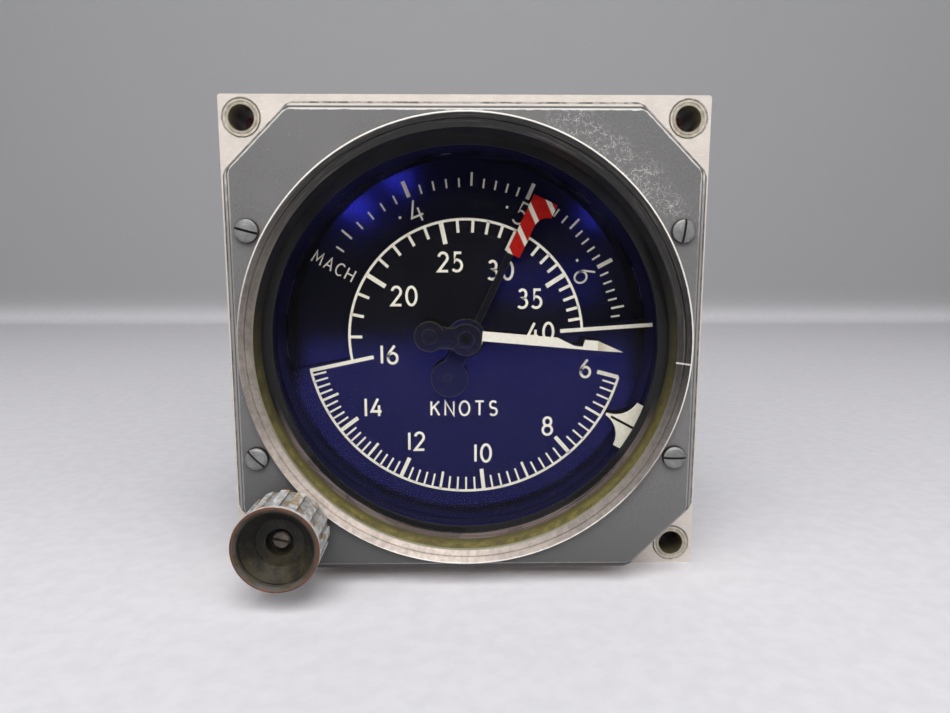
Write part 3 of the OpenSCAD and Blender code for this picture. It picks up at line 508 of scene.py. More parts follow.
def corroded_knob():
    """Knob alloy: pale grey bloom and brown stains on the ribs, darker in the flutes, a red-brown edge, a
    grey lip, and a dark olive dish, darkened in its upper part by painted shade."""
    f = Finish("corroded knob")
    r = f.radius(KNOB_AT)
    bloom = f.noise(1.3, 6, 0.65)
    stain_and_shade = f.noise(2.4, 5, 0.6)
    fine = f.noise(0.22, 4)
    side = f.mix(f.step(bloom, 0.36, 0.62), (0.30, 0.305, 0.31), (0.66, 0.67, 0.67))
    side = f.mix(f.step(stain_and_shade, 0.49, 0.64), side, (0.36, 0.24, 0.105))
    side = f.mix(f.step(fine, 0.58, 0.72), side, (0.60, 0.60, 0.58))
    groove = f.step(r, 6.78, 6.62)
    side = f.mix(f.fade(groove, 0.5), side, (0.13, 0.125, 0.12))
    front = f.step(f.y, KNOB_FRONT + 0.95, KNOB_FRONT + 0.75)
    band = f.mix(f.step(bloom, 0.4, 0.6), (0.50, 0.42, 0.36), (0.68, 0.65, 0.62))
    side = f.mix(front, side, band)
    edge = f.both(f.step(f.y, KNOB_FRONT + 0.30, KNOB_FRONT + 0.15), f.step(r, 6.45, 6.6))
    copper = f.mix(f.step(bloom, 0.42, 0.6), (0.15, 0.06, 0.038), (0.085, 0.055, 0.038))
    lip = f.both(f.step(r, 6.62, 6.5), f.step(f.y, KNOB_FRONT + 0.8, KNOB_FRONT + 0.7))
    worn_lip = f.mix(f.step(stain_and_shade, 0.42, 0.6), (0.070, 0.064, 0.054), (0.048, 0.039, 0.020))
    dish = f.both(f.step(r, 6.2, 6.0), f.step(f.y, KNOB_FRONT + 6.8, KNOB_FRONT + 6.4))
    # Painted shade and light in the dish: darker in its upper part, lighter in its lower part.
    low = f.step(f.blend(f.z, 4.0, bloom), KNOB_AT[1] + 3.5, KNOB_AT[1] - 3.0)
    upper = f.mix(f.step(stain_and_shade, 0.4, 0.65), (0.0075, 0.0073, 0.006), (0.0145, 0.0132, 0.0095))
    lower = f.mix(f.step(stain_and_shade, 0.4, 0.62), (0.014, 0.0112, 0.006), (0.038, 0.0305, 0.0135))
    base = f.mix(lip, side, worn_lip)
    base = f.mix(edge, base, copper)
    crust = f.both(f.step(f.noise(0.35, 3), 0.62, 0.72), f.step(stain_and_shade, 0.45, 0.55))
    hollow = f.mix(f.fade(crust, 0.7), f.mix(low, upper, lower), (0.115, 0.085, 0.040))
    base = f.mix(dish, base, hollow)
    f.set(Base_Color=base, Metallic=f.fade(edge, 0.3), Roughness=f.blend(0.45, 0.3, bloom),
          Specular_IOR_Level=0.3)
    f.relief(f.blend(fine, 0.8, bloom), 0.05)
    return f


def bush_metal():
    """Plated steel: warm and bright on the face, with painted shade in a darker ring round the bore's mouth,
    and in the bore painted light and shade, olive at its mouth and dark further down."""
    f = Finish("bush metal")
    cloud = f.noise(0.9, 4)
    off = bush_offset(f)
    face = f.mix(f.step(cloud, 0.35, 0.68), (0.46, 0.42, 0.34), (0.66, 0.61, 0.53))
    # Painted shade: a darker ring round the bore's mouth.
    face = f.mix(f.fade(f.step(off, 2.5, 2.2), 0.6), face, (0.20, 0.18, 0.12))
    # Painted light and shade in the bore: olive at its mouth, dark further down.
    bore = f.both(f.step(f.y, 0.03, 0.12), f.step(off, 2.3, 2.2))
    bore_light_and_shade = f.mix(f.step(f.y, 0.6, 7.0), (0.20, 0.165, 0.095), (0.05, 0.045, 0.036))
    base = f.mix(bore, face, bore_light_and_shade)
    f.set(Base_Color=base, Metallic=0.5, Roughness=f.blend(0.36, 0.2, cloud))
    f.relief(cloud, 0.01)
    return f


def bush_offset(f):
    """Distance from the nearest corner bush's axis."""
    return f.distance(f.math("ABSOLUTE", f.x), f.math("ABSOLUTE", f.z), (HOLE_AT, HOLE_AT))


def dial_black(name, sheen):
    """Black with a faint bloom and a little dust, dished below towards its rim; its reflections are blue, as
    seen through the coated glass, and blur near the rim."""
    f = Finish(name)
    cloud = f.noise(6, 4)
    dust = f.step(f.noise(0.18, 2), 0.72, 0.78)
    base = f.mix(f.step(cloud, 0.3, 0.7), (0.0087, 0.0084, 0.0058), (0.0108, 0.0104, 0.0078))
    base = f.mix(f.fade(dust, 0.15), base, (0.2, 0.19, 0.18))
    r = f.radius()
    rim = f.step(f.blend(r, 1.6, f.noise(8, 2)), 32.0, 35.2)
    f.set(Base_Color=base, Roughness=f.blend(f.blend(0.08, 0.03, cloud), 0.5, rim),
          Specular_IOR_Level=1.0, Specular_Tint=sheen)
    out = f.math("MAXIMUM", f.math("SUBTRACT", r, 27.0), 0.0)
    f.relief(f.both(f.math("MULTIPLY", out, out), f.step(f.z, 3.0, -10.0)), 0.0125)
    return f


def printed(cream, name="cream print"):
    """Cream ink, a little uneven and worn thin in places."""
    f = Finish(name)
    thin = f.noise(0.5, 4)
    base = f.mix(f.step(thin, 0.3, 0.7), dim(cream, 0.88), cream)
    f.set(Base_Color=base, Roughness=0.65, Specular_IOR_Level=0.3)
    f.relief(thin, 0.004)
    return f


def ring_line(f, u, v, at, radius, width=0.12):
    """Thin line round a point of the (u, v) plane."""
    off = f.math("SUBTRACT", f.distance(u, v, at), radius)
    return f.step(f.math("ABSOLUTE", off), width, width * 0.4)


def boss_lines(f, u, v, hub, reach, tail, neck, aside=0.0):
    """Painted highlight along the edge of a pointer's hub, of the round tail behind it, and of the waist
    between them, which is cut by a circle on each side."""
    cut = reach / 1.6
    round_hub = f.both(ring_line(f, u, v, (0.0, 0.0), hub), f.step(u, -0.38 * reach, -0.32 * reach))
    round_tail = f.both(ring_line(f, u, v, (-reach, aside), tail), f.step(u, -0.62 * reach, -0.68 * reach))
    waist = ring_line(f, u, f.math("ABSOLUTE", v), (-reach / 2, neck + cut), cut + 0.1)
    waist = f.both(waist, f.between(u, -0.65 * reach, -0.35 * reach, 0.1))
    return f.either(waist, f.either(round_hub, round_tail))


def pointer_black(f, wear, lines, tone):
    """Black of a given tone, with a painted highlight in dull olive along its edges, broken up in patches."""
    black = f.mix(f.step(wear, 0.4, 0.7), dim(tone, 0.8), dim(tone, 1.15))
    # Painted highlight: dull olive lines along the edges, broken up in patches.
    worn = f.both(lines, f.step(wear, 0.2, 0.55))
    return f.mix(f.fade(worn, 0.85), black, (0.050, 0.046, 0.029))


def gloss(f, painted, wear, level, sheen):
    """Blue gloss on black paint, and a duller one where a mask says that it is painted another colour."""
    f.set(Roughness=f.blend(f.blend(0.08, 0.1, wear), 0.6, painted), Specular_IOR_Level=level,
          Specular_Tint=sheen)


def pointer_paint(cream, sheen):
    """Cream blade from the hub's edge outwards, with painted shade just past its fold; the hub and the tail
    are black, with painted highlights along their edges."""
    f = Finish("airspeed pointer")
    u, v = f.along(POINTER_REST)
    blade = f.step(u, 2.78, 2.86)
    wear = f.noise(0.8, 4)
    hub, reach = 2.8, 6.5
    # Painted highlights round the hub's and the tail's bosses and along their edges.
    bosses = f.either(ring_line(f, u, v, (0.0, 0.0), 1.45), ring_line(f, u, v, (-reach, 0.0), 1.35))
    lines = f.either(f.fade(bosses, 0.6), boss_lines(f, u, v, hub, reach, 2.65, 1.9))
    blade_cream = f.mix(f.step(wear, 0.3, 0.7), dim(cream, 0.80), dim(cream, 0.87))
    # Painted shade: the blade darkens just past its fold.
    stain_and_shade = f.both(f.step(u, FOLD_AT - 0.06, FOLD_AT), f.step(u, FOLD_AT + 2.4, FOLD_AT))
    blade_cream = f.mix(f.fade(stain_and_shade, 0.8), blade_cream, (0.50, 0.42, 0.24))
    base = f.mix(blade, pointer_black(f, wear, lines, (0.0125, 0.0122, 0.0125)), blade_cream)
    f.set(Base_Color=base)
    gloss(f, blade, wear, 0.5, sheen)
    return f


def staff_steel():
    """Ground steel, blacked at the end that shows in the hub."""
    f = Finish("staff steel")
    cloud = f.noise(0.8, 4)
    steel = f.mix(f.step(cloud, 0.35, 0.7), (0.34, 0.34, 0.34), (0.48, 0.48, 0.47))
    black = f.step(f.y, 1.6, 1.2)
    f.set(Base_Color=f.mix(black, steel, (0.006, 0.006, 0.006)), Metallic=f.math("SUBTRACT", 0.95, black),
          Roughness=f.blend(f.blend(0.3, 0.15, cloud), 0.3, black), Specular_IOR_Level=0.05)
    f.relief(cloud, 0.004)
    return f


def limit_paint(red, cream, sheen):
    """Red blade crossed by slanting cream stripes; the arm is black, the hub and the tail black with a
    painted blue reflection, and all have painted highlights along their edges.
    """
    f = Finish("limit pointer")
    u, v = f.along(LIMIT_REST)
    blade = f.step(u, BLADE_FROM - 0.05, BLADE_FROM + 0.05)
    slant = math.radians(40)
    across = f.math("MULTIPLY_ADD", u, math.cos(slant), f.math("MULTIPLY", v, math.sin(slant)))
    spaced = f.math("FRACT", f.math("DIVIDE", f.math("SUBTRACT", across, 12.85), 3.30))
    stripe = f.both(f.step(spaced, 0.0, 0.025), f.step(spaced, 0.265, 0.24))
    wear = f.noise(0.7, 4)
    reds = f.mix(f.step(wear, 0.35, 0.7), dim(red, 0.85), dim(red, 1.1))
    base = f.mix(stripe, reds, dim(cream, 0.72))
    hub, reach = 3.5, 7.9
    # Painted highlights along the edges of the hub, the tail, its boss and the arm.
    lines = boss_lines(f, u, v, hub, reach, 3.3, 1.7, 0.4)
    lines = f.either(lines, ring_line(f, u, v, (-reach, 0.0), 0.75))
    side = f.math("ABSOLUTE", f.math("SUBTRACT", v, 0.65))
    arm_edge = f.both(f.between(side, 0.53, 0.75, 0.04), f.step(u, 3.3, 3.6))
    lines = f.either(lines, f.fade(arm_edge, 0.6))
    # Painted reflection: the hub and the tail are tinted blue, like the glass's sheen; the arm stays black.
    tail_painted_sheen = pointer_black(f, wear, lines, (0.0150, 0.0150, 0.050))
    arm_black = pointer_black(f, wear, lines, (0.0105, 0.0102, 0.0125))
    base = f.mix(blade, f.mix(f.step(u, 2.0, 4.0), tail_painted_sheen, arm_black), base)
    f.set(Base_Color=base)
    gloss(f, blade, wear, 0.12, sheen)
    return f


def bug_paint(cream):
    """Cream with a black line down its middle."""
    f = Finish("speed bug")
    u, v = f.along(BUG_REST)
    line = f.both(f.step(f.math("ABSOLUTE", v), 0.26, 0.2), f.step(u, 29.6, 29.8))
    wear = f.noise(0.8, 4)
    base = f.mix(f.step(wear, 0.3, 0.7), dim(cream, 0.9), dim(cream, 1.03))
    base = f.mix(line, base, (0.01, 0.01, 0.01))
    f.set(Base_Color=base, Roughness=f.blend(0.5, 0.15, wear), Specular_IOR_Level=0.12)
    f.relief(wear, 0.004)
    return f


def crackle_black(tint):
    """Satin black paint with a fine wrinkle, rubbed grey in patches."""
    f = Finish("crackle black")
    wrinkle = f.noise(0.45, 3, 0.6, warp=0.6)
    rub = f.step(f.noise(5, 5), 0.58, 0.7)
    base = f.mix(f.step(wrinkle, 0.4, 0.65), dim(tint, 0.8), dim(tint, 1.5))
    base = f.mix(f.fade(rub, 0.35), base, (0.09, 0.09, 0.09))
    f.set(Base_Color=base, Roughness=f.blend(0.38, 0.2, wrinkle), Specular_IOR_Level=0.45)
    f.relief(wrinkle, 0.05)
    return f


class FinishCastings(Operator):
    """Finishes the front casting, the plate, the ring, the glass, the case and the fasteners"""

    bl_idname = "indicator.finish_castings"
    bl_label = "Finish castings"

    def execute(self, context):
        p = context.scene.indicator_finish
        paint(bare_aluminium(p.aluminium), "flange_housing")
        paint(grey_enamel(p.enamel), "front_plate")
        paint(ring_metal(p.ring, p.olive), "bezel_ring")
        paint(coated_glass(CLEAR_GLASS), "glass")
        paint(aged_rubber(), "glass_gasket")
        paint(plain("gasket rubber", (0.035, 0.03, 0.042), 0.7, size=0.6), "shaft_seal", "case_gasket",
              "rear_gasket")
        paint(domed_screw(), "plate_screws")
        paint(plain("screw steel", (0.36, 0.35, 0.33), 0.38, 0.9, 0.5, 0.2), "case_screws",
              "rear_cover_screws", "pillar_screws", "movement_screws", "bracket_screws")
        paint(bush_metal(), "corner_bushes")
        paint(plain("red fibre", (0.95, 0.06, 0.035), 0.6, 0.0, 0.5, 0.2), "lock_inserts")
        paint(crackle_black(p.case), "case_flange", "case_tube", "rear_cover")
        paint(plain("union brass", (0.52, 0.43, 0.19), 0.4, 0.9, 0.8, 0.2), "pitot_union", "static_union")
        return {"FINISHED"}


class FinishKnob(Operator):
    """Finishes the setting knob, and the ground steel of its shaft and of the movement"""

    bl_idname = "indicator.finish_knob"
    bl_label = "Finish knob"

    def execute(self, context):
        paint(corroded_knob(), "knob")
        paint(plain("stained screw", (0.12, 0.095, 0.08), 0.5, 0.4, 0.3, 0.45), "knob_screw")
        paint(plain("ground steel", (0.42, 0.42, 0.42), 0.3, 0.95, 0.3, 0.12, 0.004), "knob_shaft",
              "shaft_clip", "airspeed_rocking_shaft", "altitude_rocking_shaft", "airspeed_hairspring",
              "altitude_hairspring", "spring_studs", "airspeed_post", "aneroid_post")
        return {"FINISHED"}


class FinishDial(Operator):
    """Finishes the dial, the Mach disc, the pointers and the speed bug"""

    bl_idname = "indicator.finish_dial"
    bl_label = "Finish dial"

    def execute(self, context):
        p = context.scene.indicator_finish
        paint(dial_black("dial black", p.glass_sheen), "dial")
        paint(dial_black("disc black", p.glass_sheen), "mach_disc")
        paint(dial_black("ring black", p.glass_sheen), "bug_ring", "dial_carrier")
        paint(pointer_paint(p.cream, p.glass_sheen), "airspeed_pointer")
        paint(staff_steel(), "airspeed_staff")
        paint(limit_paint(p.signal_red, p.cream, p.glass_sheen), "limit_pointer")
        paint(bug_paint(p.cream), "speed_bug")
        return {"FINISHED"}


class FinishMovement(Operator):
    """Finishes the brass, the plates and the capsules of the movement"""

    bl_idname = "indicator.finish_movement"
    bl_label = "Finish movement"

    def execute(self, context):
        paint(plain("brass", (0.66, 0.47, 0.19), 0.3, 0.95, 0.5, 0.12, 0.004), "knob_pinion", "knob_bush",
              "altitude_sleeve", "pivot_bushes", "airspeed_sector", "altitude_sector", "pitot_pipe")
        paint(plain("machined plate", (0.58, 0.57, 0.55), 0.36, 0.9, 0.6, 0.1, 0.005),
              "movement_front_plate", "movement_mid_plate", "movement_rear_plate", "front_pillars",
              "rear_pillars", "airspeed_bracket", "aneroid_bracket")
        paint(plain("capsule copper", (0.62, 0.38, 0.20), 0.28, 0.95, 0.8, 0.1, 0.004), "airspeed_capsule",
              "aneroid_stack")
        return {"FINISHED"}


def clock(radius, degrees):
    """Points at directions clockwise from the top, as X and Z."""
    a = np.radians(degrees)
    return np.stack([radius * np.sin(a), radius * np.cos(a)], axis=-1)


def oval(cx, cy, rx, ry, start, stop, steps=28):
    """Part of an ellipse, counter-clockwise where stop is the larger."""
    a = np.radians(np.linspace(start, stop, steps))
    return np.stack([cx + rx * np.cos(a), cy + ry * np.sin(a)], axis=-1)


def run(*points):
    """A path through points."""
    return np.array(points, float)


def join(*paths):
    """One path from several, end to end."""
    return np.concatenate(paths)


# Glyphs drawn as strokes in a box one unit high: width, then the paths of the pen
GLYPHS = {
    "0": (0.54, [oval(0.27, 0.5, 0.27, 0.5, 90, 450, 44)]),
    "1": (0.04, [run((0.02, 0), (0.02, 1))]),
    "2": (0.50, [join(oval(0.25, 0.73, 0.24, 0.27, 168, -32), run((0.0, 0.0), (0.52, 0.0)))]),
    "3": (0.48, [join(oval(0.22, 0.755, 0.20, 0.245, 150, -75, 22),
                      oval(0.20, 0.27, 0.27, 0.27, 85, -140, 28))]),
    "4": (0.56, [run((0.36, 1.0), (0.0, 0.27), (0.56, 0.27)), run((0.42, 0.62), (0.42, 0.0))]),
    "5": (0.48, [join(run((0.44, 1.0), (0.10, 1.0), (0.07, 0.54)), oval(0.19, 0.31, 0.28, 0.31, 112, -140))]),
    "6": (0.54, [join(run((0.38, 1.0)), oval(0.62, 0.30, 0.60, 0.62, 150, 178, 8),
                      oval(0.27, 0.29, 0.26, 0.29, 172, 532, 40))]),
    "7": (0.48, [run((0.0, 1.0), (0.48, 1.0), (0.14, 0.0))]),
    "8": (0.52, [oval(0.26, 0.27, 0.26, 0.27, 90, 450, 36), oval(0.26, 0.765, 0.21, 0.235, -90, 270, 32)]),
    "9": (0.54, [join(run((0.16, 0.0)), oval(-0.08, 0.70, 0.60, 0.62, -30, -2, 8),
                      oval(0.27, 0.71, 0.26, 0.29, -8, 352, 40))]),
    "K": (0.56, [run((0.0, 0), (0.0, 1)), run((0.54, 1.0), (0.03, 0.46)), run((0.2, 0.62), (0.56, 0.0))]),
    "N": (0.60, [run((0.0, 0), (0.0, 1), (0.60, 0.0), (0.60, 1.0))]),
    "O": (0.68, [oval(0.34, 0.5, 0.34, 0.5, 90, 450, 44)]),
    "T": (0.60, [run((0.0, 1), (0.60, 1)), run((0.30, 1), (0.30, 0))]),
    "S": (0.52, [join(oval(0.26, 0.755, 0.23, 0.245, 35, 265, 22),
                      oval(0.25, 0.265, 0.25, 0.265, 85, -145, 24))]),
    "M": (0.78, [run((0.0, 0), (0.10, 1), (0.39, 0.28), (0.68, 1), (0.78, 0))]),
    "A": (0.66, [run((0.0, 0), (0.33, 1), (0.66, 0)), run((0.12, 0.34), (0.54, 0.34))]),
    "C": (0.62, [oval(0.36, 0.5, 0.35, 0.5, 48, 312, 34)]),
    "H": (0.60, [run((0.0, 0), (0.0, 1)), run((0.60, 0), (0.60, 1)), run((0.0, 0.52), (0.60, 0.52))]),
}


def add_piece(name, verts, faces, material):
    """A piece of the scene, made from points and faces."""
    mesh = bpy.data.meshes.new(name)
    mesh.from_pydata(verts, [], faces)
    mesh.materials.append(material)
    piece = bpy.data.objects.new(name, mesh)
    bpy.context.scene.collection.objects.link(piece)
    return piece


def words(text, height, gap, middle, turn=0.0):
    """Pen paths of a word, centred on middle and turned clockwise by turn degrees."""
    widths = [GLYPHS[c][0] for c in text]
    total = sum(widths) + gap * (len(text) - 1)
    a = math.radians(-turn)
    spin = np.array([[math.cos(a), math.sin(a)], [-math.sin(a), math.cos(a)]])
    paths, x = [], -total / 2
    for c, width in zip(text, widths):
        paths += [((path + (x, -0.5)) * height) @ spin + middle for path in GLYPHS[c][1]]
        x += width + gap
    return paths


def strip(path, width):
    """Flat strip along a path. Each point goes half the width to either side, along the mean of the normals
    of the two runs that meet there, longer in a corner by one over the cosine of half its turn. Ends that
    meet share a normal."""
    runs = np.diff(path, axis=0)
    keep = np.r_[True, np.hypot(*runs.T) > 1e-9]
    path = path[keep]
    runs = np.diff(path, axis=0)
    runs /= np.hypot(*runs.T)[:, None]
    normals = np.stack([-runs[:, 1], runs[:, 0]], axis=-1)
    before = np.concatenate([normals[:1], normals])
    after = np.concatenate([normals, normals[-1:]])
    if np.allclose(path[0], path[-1], atol=1e-6):
        before[0], after[-1] = normals[-1], normals[0]
    mean = before + after
    mean /= np.maximum(np.hypot(*mean.T), 1e-9)[:, None]
    reach = 1 / np.maximum((mean * after).sum(1), 0.45)
    side = mean * (reach * width / 2)[:, None]
    n = len(path)
    i = np.arange(n - 1)
    return np.concatenate([path - side, path + side]), np.stack([i, i + 1, i + n + 1, i + n], axis=-1)


def ink(name, strips, y, thickness, body, slot, finish):
    """Print: strips of ink that face -Y, thickened back onto the face at depth y. Strips that cross differ
    in height by a hair, so that no two faces coincide."""
    points, faces, heights, count = [], [], [], 0
    for k, (path, width) in enumerate(strips):
        p, f = strip(np.asarray(path, float), width)
        points.append(p)
        faces.append(f + count)
        heights.append(np.full(len(p), thickness + INK_STEP * (k % 4)))
        count += len(p)
    points, faces = np.concatenate(points), np.concatenate(faces)
    verts = np.stack([points[:, 0], y - np.concatenate(heights), points[:, 1]], axis=-1) * MM
    piece = add_piece(name, verts, faces, finish.material)
    thick = piece.modifiers.new("thickness", "SOLIDIFY")
    thick.thickness = thickness * INK_SOLID * MM
    thick.offset = -1
    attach(piece, body)


def knot_angle(knots):
    """Dial direction of a speed: a smooth curve through the scale's marks, a polynomial of the sixth degree
    in the speed's logarithm."""
    marks = np.array(KNOT_MARKS)
    middle = 5.0
    fit = np.polyfit(np.log(marks[:, 0]) - middle, marks[:, 1], 6)
    return np.polyval(fit, np.log(np.asarray(knots, float)) - middle)


def mach_angle(mach):
    """Disc direction of a Mach number at rest: its logarithm, shifted a little."""
    return MACH_ZERO + MACH_SPREAD * np.log(np.asarray(mach, float) + MACH_SHIFT)


def ticks(angles, inner, outer, width):
    """Radial marks."""
    return [(np.stack([clock(inner, a), clock(outer, a)]), width) for a in np.atleast_1d(angles)]


class PrintDial(Operator):
    """Prints the knots scale, its numerals and its name on the dial"""

    bl_idname = "indicator.print_dial"
    bl_label = "Print dial"

    def execute(self, context):
        p, s = context.scene.indicator_finish, context.scene.indicator_size
        start, end = knot_angle(60), knot_angle(400)
        marks = [(clock(OUTER_SCALE, np.linspace(start, SCALE_CHANGE, 120)), 0.45)]
        marks.append((clock(INNER_SCALE, np.linspace(SCALE_CHANGE, end, 140)), 0.45))
        slow = np.arange(60, 161, 2)
        marks += ticks(knot_angle(slow[slow % 10 != 0]), 26.2, OUTER_SCALE, 0.34)
        marks += ticks(knot_angle([70, 90, 110, 130, 150]), 25.5, OUTER_SCALE, 0.46)
        marks += ticks(knot_angle([60, 80, 100, 120, 140]), 24.8, OUTER_SCALE, 0.72)
        fast = np.arange(170, 400, 10)
        marks += ticks(knot_angle(fast[fast % 50 != 0]), 18.75, INNER_SCALE, 0.52)
        marks += ticks(knot_angle([200, 250, 300, 350]), 17.1, INNER_SCALE, 0.8)
        marks += ticks([SCALE_CHANGE], 17.15, 28.95, 0.68)
        marks += ticks([end], 17.1, 33.9, 0.68)
        stroke = s.stroke / MM
        for text, x, z in KNOT_NUMERALS:
            marks += [(path, stroke) for path in words(text, s.numeral / MM - stroke, 0.31, (x, z))]
        marks += [(path, 0.36) for path in words("KNOTS", 2.6, 0.42, (-0.35, -13.1))]
        ink("dial_print", marks, DIAL_Y, s.ink / MM, "instrument", "dial_black", printed(p.cream))
        return {"FINISHED"}


class PrintDisc(Operator):
    """Prints the Mach scale, its numerals and its name on the disc"""

    bl_idname = "indicator.print_disc"
    bl_label = "Print Mach disc"

    def execute(self, context):
        p, s = context.scene.indicator_finish, context.scene.indicator_size
        hundredths = np.arange(34, 100)
        minor = hundredths[hundredths % 5 != 0]
        medium = hundredths[hundredths % 10 == 5]
        major = hundredths[hundredths % 10 == 0]
        marks = ticks(mach_angle(minor / 100), 26.7, 28.3, 0.32)
        marks += ticks(mach_angle(medium / 100), 26.95, 29.3, 0.38)
        marks += ticks(mach_angle(major / 100), 26.9, 29.85, 0.7)
        stroke = s.mach_stroke / MM
        height = s.mach_numeral / MM - stroke
        for tenths in range(4, 10):
            a = float(mach_angle(tenths / 10))
            middle = clock(24.2, a + 0.4)
            marks += [(path, stroke) for path in words(str(tenths), height, 0, middle, a)]
            along = clock(1.0, a + 90)
            dot = middle - along * height * (0.5 + GLYPHS[str(tenths)][0] / 2)
            marks.append((np.stack([dot - along * 0.22, dot + along * 0.22]), 0.44))
        name_at = 298.3
        middle = clock(27.0, name_at)
        marks += [(path, 0.27) for path in words("MACH", 2.15, 0.34, middle, name_at - 270)]
        ink("disc_print", marks, DISC_Y, s.ink / MM, "altitude_hand", "disc_black",
            printed(dim(p.cream, 0.85), "disc print"))
        return {"FINISHED"}


class CutThreads(Operator):
    """Cuts a screw thread round each pressure union's stub"""

    bl_idname = "indicator.cut_threads"
    bl_label = "Cut threads"

    def execute(self, context):
        s = context.scene.indicator_size
        for name in ("pitot_union", "static_union"):
            low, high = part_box(name)
            middle = ((low[0] + high[0]) / 2, (low[2] + high[2]) / 2)
            core, start, stop = 0.0049, high[1] - 0.0098, high[1] - 0.0006
            thread(f"{name}_thread", middle, core, start, stop, s.thread_pitch, s.thread_depth,
                   NODES[name].data.materials[0])
        return {"FINISHED"}


def thread(name, middle, core, start, stop, pitch, depth, material):
    """Screw thread: a blunt triangular profile carried along a helix, sunk a little into the stub and fading
    at both ends. Angle a and profile step k give the point at radius core plus the profile's height, and
    depth start plus the pitch for each turn."""
    steps, run_out = 48, 2.0
    turns = (stop - start) / pitch - 1
    a = np.linspace(0, 2 * math.pi * turns, int(steps * turns))
    fade = np.clip(np.minimum(a, a[-1] - a) / run_out, 0, 1)
    height = np.array([-0.4, 0.85, 1.0, 0.85, -0.4]) * depth
    along = np.array([-0.48, -0.10, 0.0, 0.10, 0.48]) * pitch
    r = core + height[None, :] * fade[:, None] - 0.1 * depth
    y = start + 0.5 * pitch + (a / (2 * math.pi))[:, None] * pitch + along[None, :]
    x = middle[0] + r * np.sin(a)[:, None]
    z = middle[1] + r * np.cos(a)[:, None]
    n, k = r.shape
    i, j = np.meshgrid(np.arange(n - 1), np.arange(k), indexing="ij")
    nxt = (j + 1) % k
    quads = np.stack([i * k + j, i * k + nxt, (i + 1) * k + nxt, (i + 1) * k + j], axis=-1).reshape(-1, 4)
    caps = [list(range(k))[::-1], list((n - 1) * k + np.arange(k))]
    verts = np.stack([x, y, z], axis=-1).reshape(-1, 3)
    piece = add_piece(name, verts, quads.tolist() + caps, material)
    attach(piece, "instrument")


class SetStage(Operator):
    """Lays the pale floor, hangs the lights and places the camera"""

    bl_idname = "indicator.set_stage"
    bl_label = "Set stage"

    def execute(self, context):
        scene = context.scene
        p = scene.indicator_finish
        floor(p.floor, p.backdrop, CAD_BOX[0][2])
        middle = (0.0, 0.0, 0.0)
        light("key", (0.0, -0.46, 0.60), middle, 0.6, 6.4)
        light("left fill", (-0.65, -0.55, 0.50), middle, 0.5, 2.0)
        light("right fill", (0.65, -0.55, 0.50), middle, 0.5, 2.0)
        light("back", (0.0, 0.75, 0.85), (0.0, 0.2, 0.0), 0.6, 3.0)
        for name, (at, wide, power, tall, roll) in GLINTS.items():
            light(name, at, GLINT_FACING, wide, power, tall, roll, GLINT_BLUE)
        world = bpy.data.worlds.new("studio")
        world.use_nodes = True
        sky = world.node_tree.nodes["Background"]
        sky.inputs["Color"].default_value = (0.86, 0.88, 0.93, 1)
        sky.inputs["Strength"].default_value = 0.06
        scene.world = world
        scene.view_settings.view_transform = "Standard"
        place_camera(scene)
        return {"FINISHED"}


def floor(tint, backdrop, height):
    """Floor that rises behind in a quarter circle to a wall, and darkens towards its front end: a profile of
    depth and height carried along X."""
    a = np.linspace(0, math.pi / 2, 17)
    bend, front, back, wide, tall = 0.03, -0.40, 0.44, 1.6, 1.6
    y = np.concatenate([[front, 0.0], back + bend * np.sin(a), [back + bend]])
    z = np.concatenate([[0.0, 0.0], bend * (1 - np.cos(a)), [tall]]) + height
    x = np.array([-wide, wide])
    n = len(y)
    verts = np.stack([np.repeat(x, n), np.tile(y, 2), np.tile(z, 2)], axis=-1)
    i = np.arange(n - 1)
    faces = np.stack([i, i + n, i + n + 1, i + 1], axis=-1)
    f = Finish("pale floor")
    grain = f.noise(3, 4)
    ground_mix = f.mix(f.step(grain, 0.3, 0.7), dim(tint, 0.94), tint)
    # Painted shade: the floor's front end fades to near black, standing for the unlit room beyond it.
    ground_mix = f.mix(f.step(f.y, -240.0, -395.0), ground_mix, (0.01, 0.01, 0.01))
    wall = f.step(f.y, 455.0, 470.0)
    f.set(Base_Color=f.mix(wall, ground_mix, backdrop), Roughness=0.85, Specular_IOR_Level=0.2)
    ground = add_piece("floor", verts, faces, f.material)
    ground.data.shade_smooth()


def light(name, at, towards, size, power, tall=None, roll=0.0, tint=(1.0, 1.0, 1.0)):
    """Soft light, square unless it says how tall it is, and turned about its own axis by roll degrees."""
    data = bpy.data.lights.new(name, "AREA")
    data.shape = "RECTANGLE"
    data.size = size
    data.size_y = size if tall is None else tall
    data.energy = power
    data.color = tint
    lamp = bpy.data.objects.new(name, data)
    lamp.visible_camera = False
    bpy.context.scene.collection.objects.link(lamp)
    back = np.subtract(at, towards)
    back = back / np.linalg.norm(back)
    right = np.cross((0, 0, 1), back)
    right /= np.linalg.norm(right)
    up = np.cross(back, right)
    s, c = math.sin(math.radians(roll)), math.cos(math.radians(roll))
    right, up = c * right + s * up, c * up - s * right
    lamp.matrix_world = stand(np.stack([right, up, back], axis=1), at)


def stand(axes, at):
    """Matrix of an object at a place, with its X, Y and Z along the columns of axes."""
    return Matrix([[*row, place] for row, place in zip(axes, at)] + [[0, 0, 0, 1]])


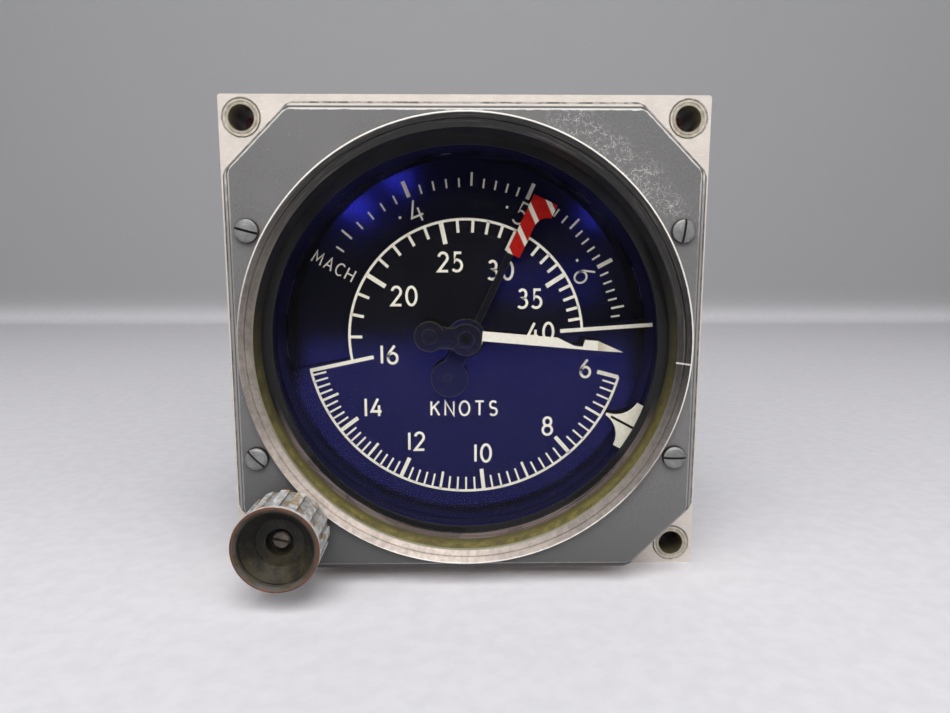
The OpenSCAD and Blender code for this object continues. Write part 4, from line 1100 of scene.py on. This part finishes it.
def place_camera(scene):
    """Camera at the photograph's angle: a little above the dial's axis, close, and looking slightly down."""
    turns = zip(CAMERA_TURNS, "XYZ")
    pitch, yaw, roll = [Matrix.Rotation(math.radians(angle), 3, axis) for angle, axis in turns]
    seen = Matrix(((1, 0, 0), (0, 0, 1), (0, -1, 0)))
    axes = (roll @ pitch @ yaw @ seen).transposed()
    data = bpy.data.cameras.new("camera")
    data.sensor_fit = "HORIZONTAL"
    data.sensor_width = 36
    data.lens = data.sensor_width * FOCAL / WIDE
    data.clip_start = 0.005
    data.clip_end = 20
    eye = bpy.data.objects.new("camera", data)
    scene.collection.objects.link(eye)
    eye.matrix_world = stand(axes, CAMERA_AT)
    scene.camera = eye


class IndicatorPanel(Panel):
    """Sidebar panel that lists the steps and the settings"""

    bl_idname = "VIEW3D_PT_airspeed_indicator"
    bl_label = "Airspeed Indicator"
    bl_space_type = "VIEW_3D"
    bl_region_type = "UI"
    bl_category = "Airspeed Indicator"

    def draw(self, context):
        for group in (context.scene.indicator_finish, context.scene.indicator_size):
            for name in group.__annotations__:
                self.layout.prop(group, name)
        for step in STEPS:
            self.layout.operator(step.bl_idname)


STEPS = (FinishCastings, FinishKnob, FinishDial, FinishMovement, PrintDial, PrintDisc, CutThreads, SetStage)
CLASSES = (IndicatorFinish, IndicatorSize, *STEPS, IndicatorPanel)


def register():
    """Registers the classes and hangs the settings on the scene."""
    for cls in CLASSES:
        bpy.utils.register_class(cls)
    bpy.types.Scene.indicator_finish = PointerProperty(type=IndicatorFinish)
    bpy.types.Scene.indicator_size = PointerProperty(type=IndicatorSize)


def unregister():
    """Takes the settings off the scene and unregisters the classes."""
    del bpy.types.Scene.indicator_size
    del bpy.types.Scene.indicator_finish
    for cls in reversed(CLASSES):
        bpy.utils.unregister_class(cls)


def main():
    """Builds the whole scene in order."""
    register()
    bpy.ops.indicator.finish_castings()
    bpy.ops.indicator.finish_knob()
    bpy.ops.indicator.finish_dial()
    bpy.ops.indicator.finish_movement()
    bpy.ops.indicator.print_dial()
    bpy.ops.indicator.print_disc()
    bpy.ops.indicator.cut_threads()
    bpy.ops.indicator.set_stage()


if __name__ == "__main__":
    main()
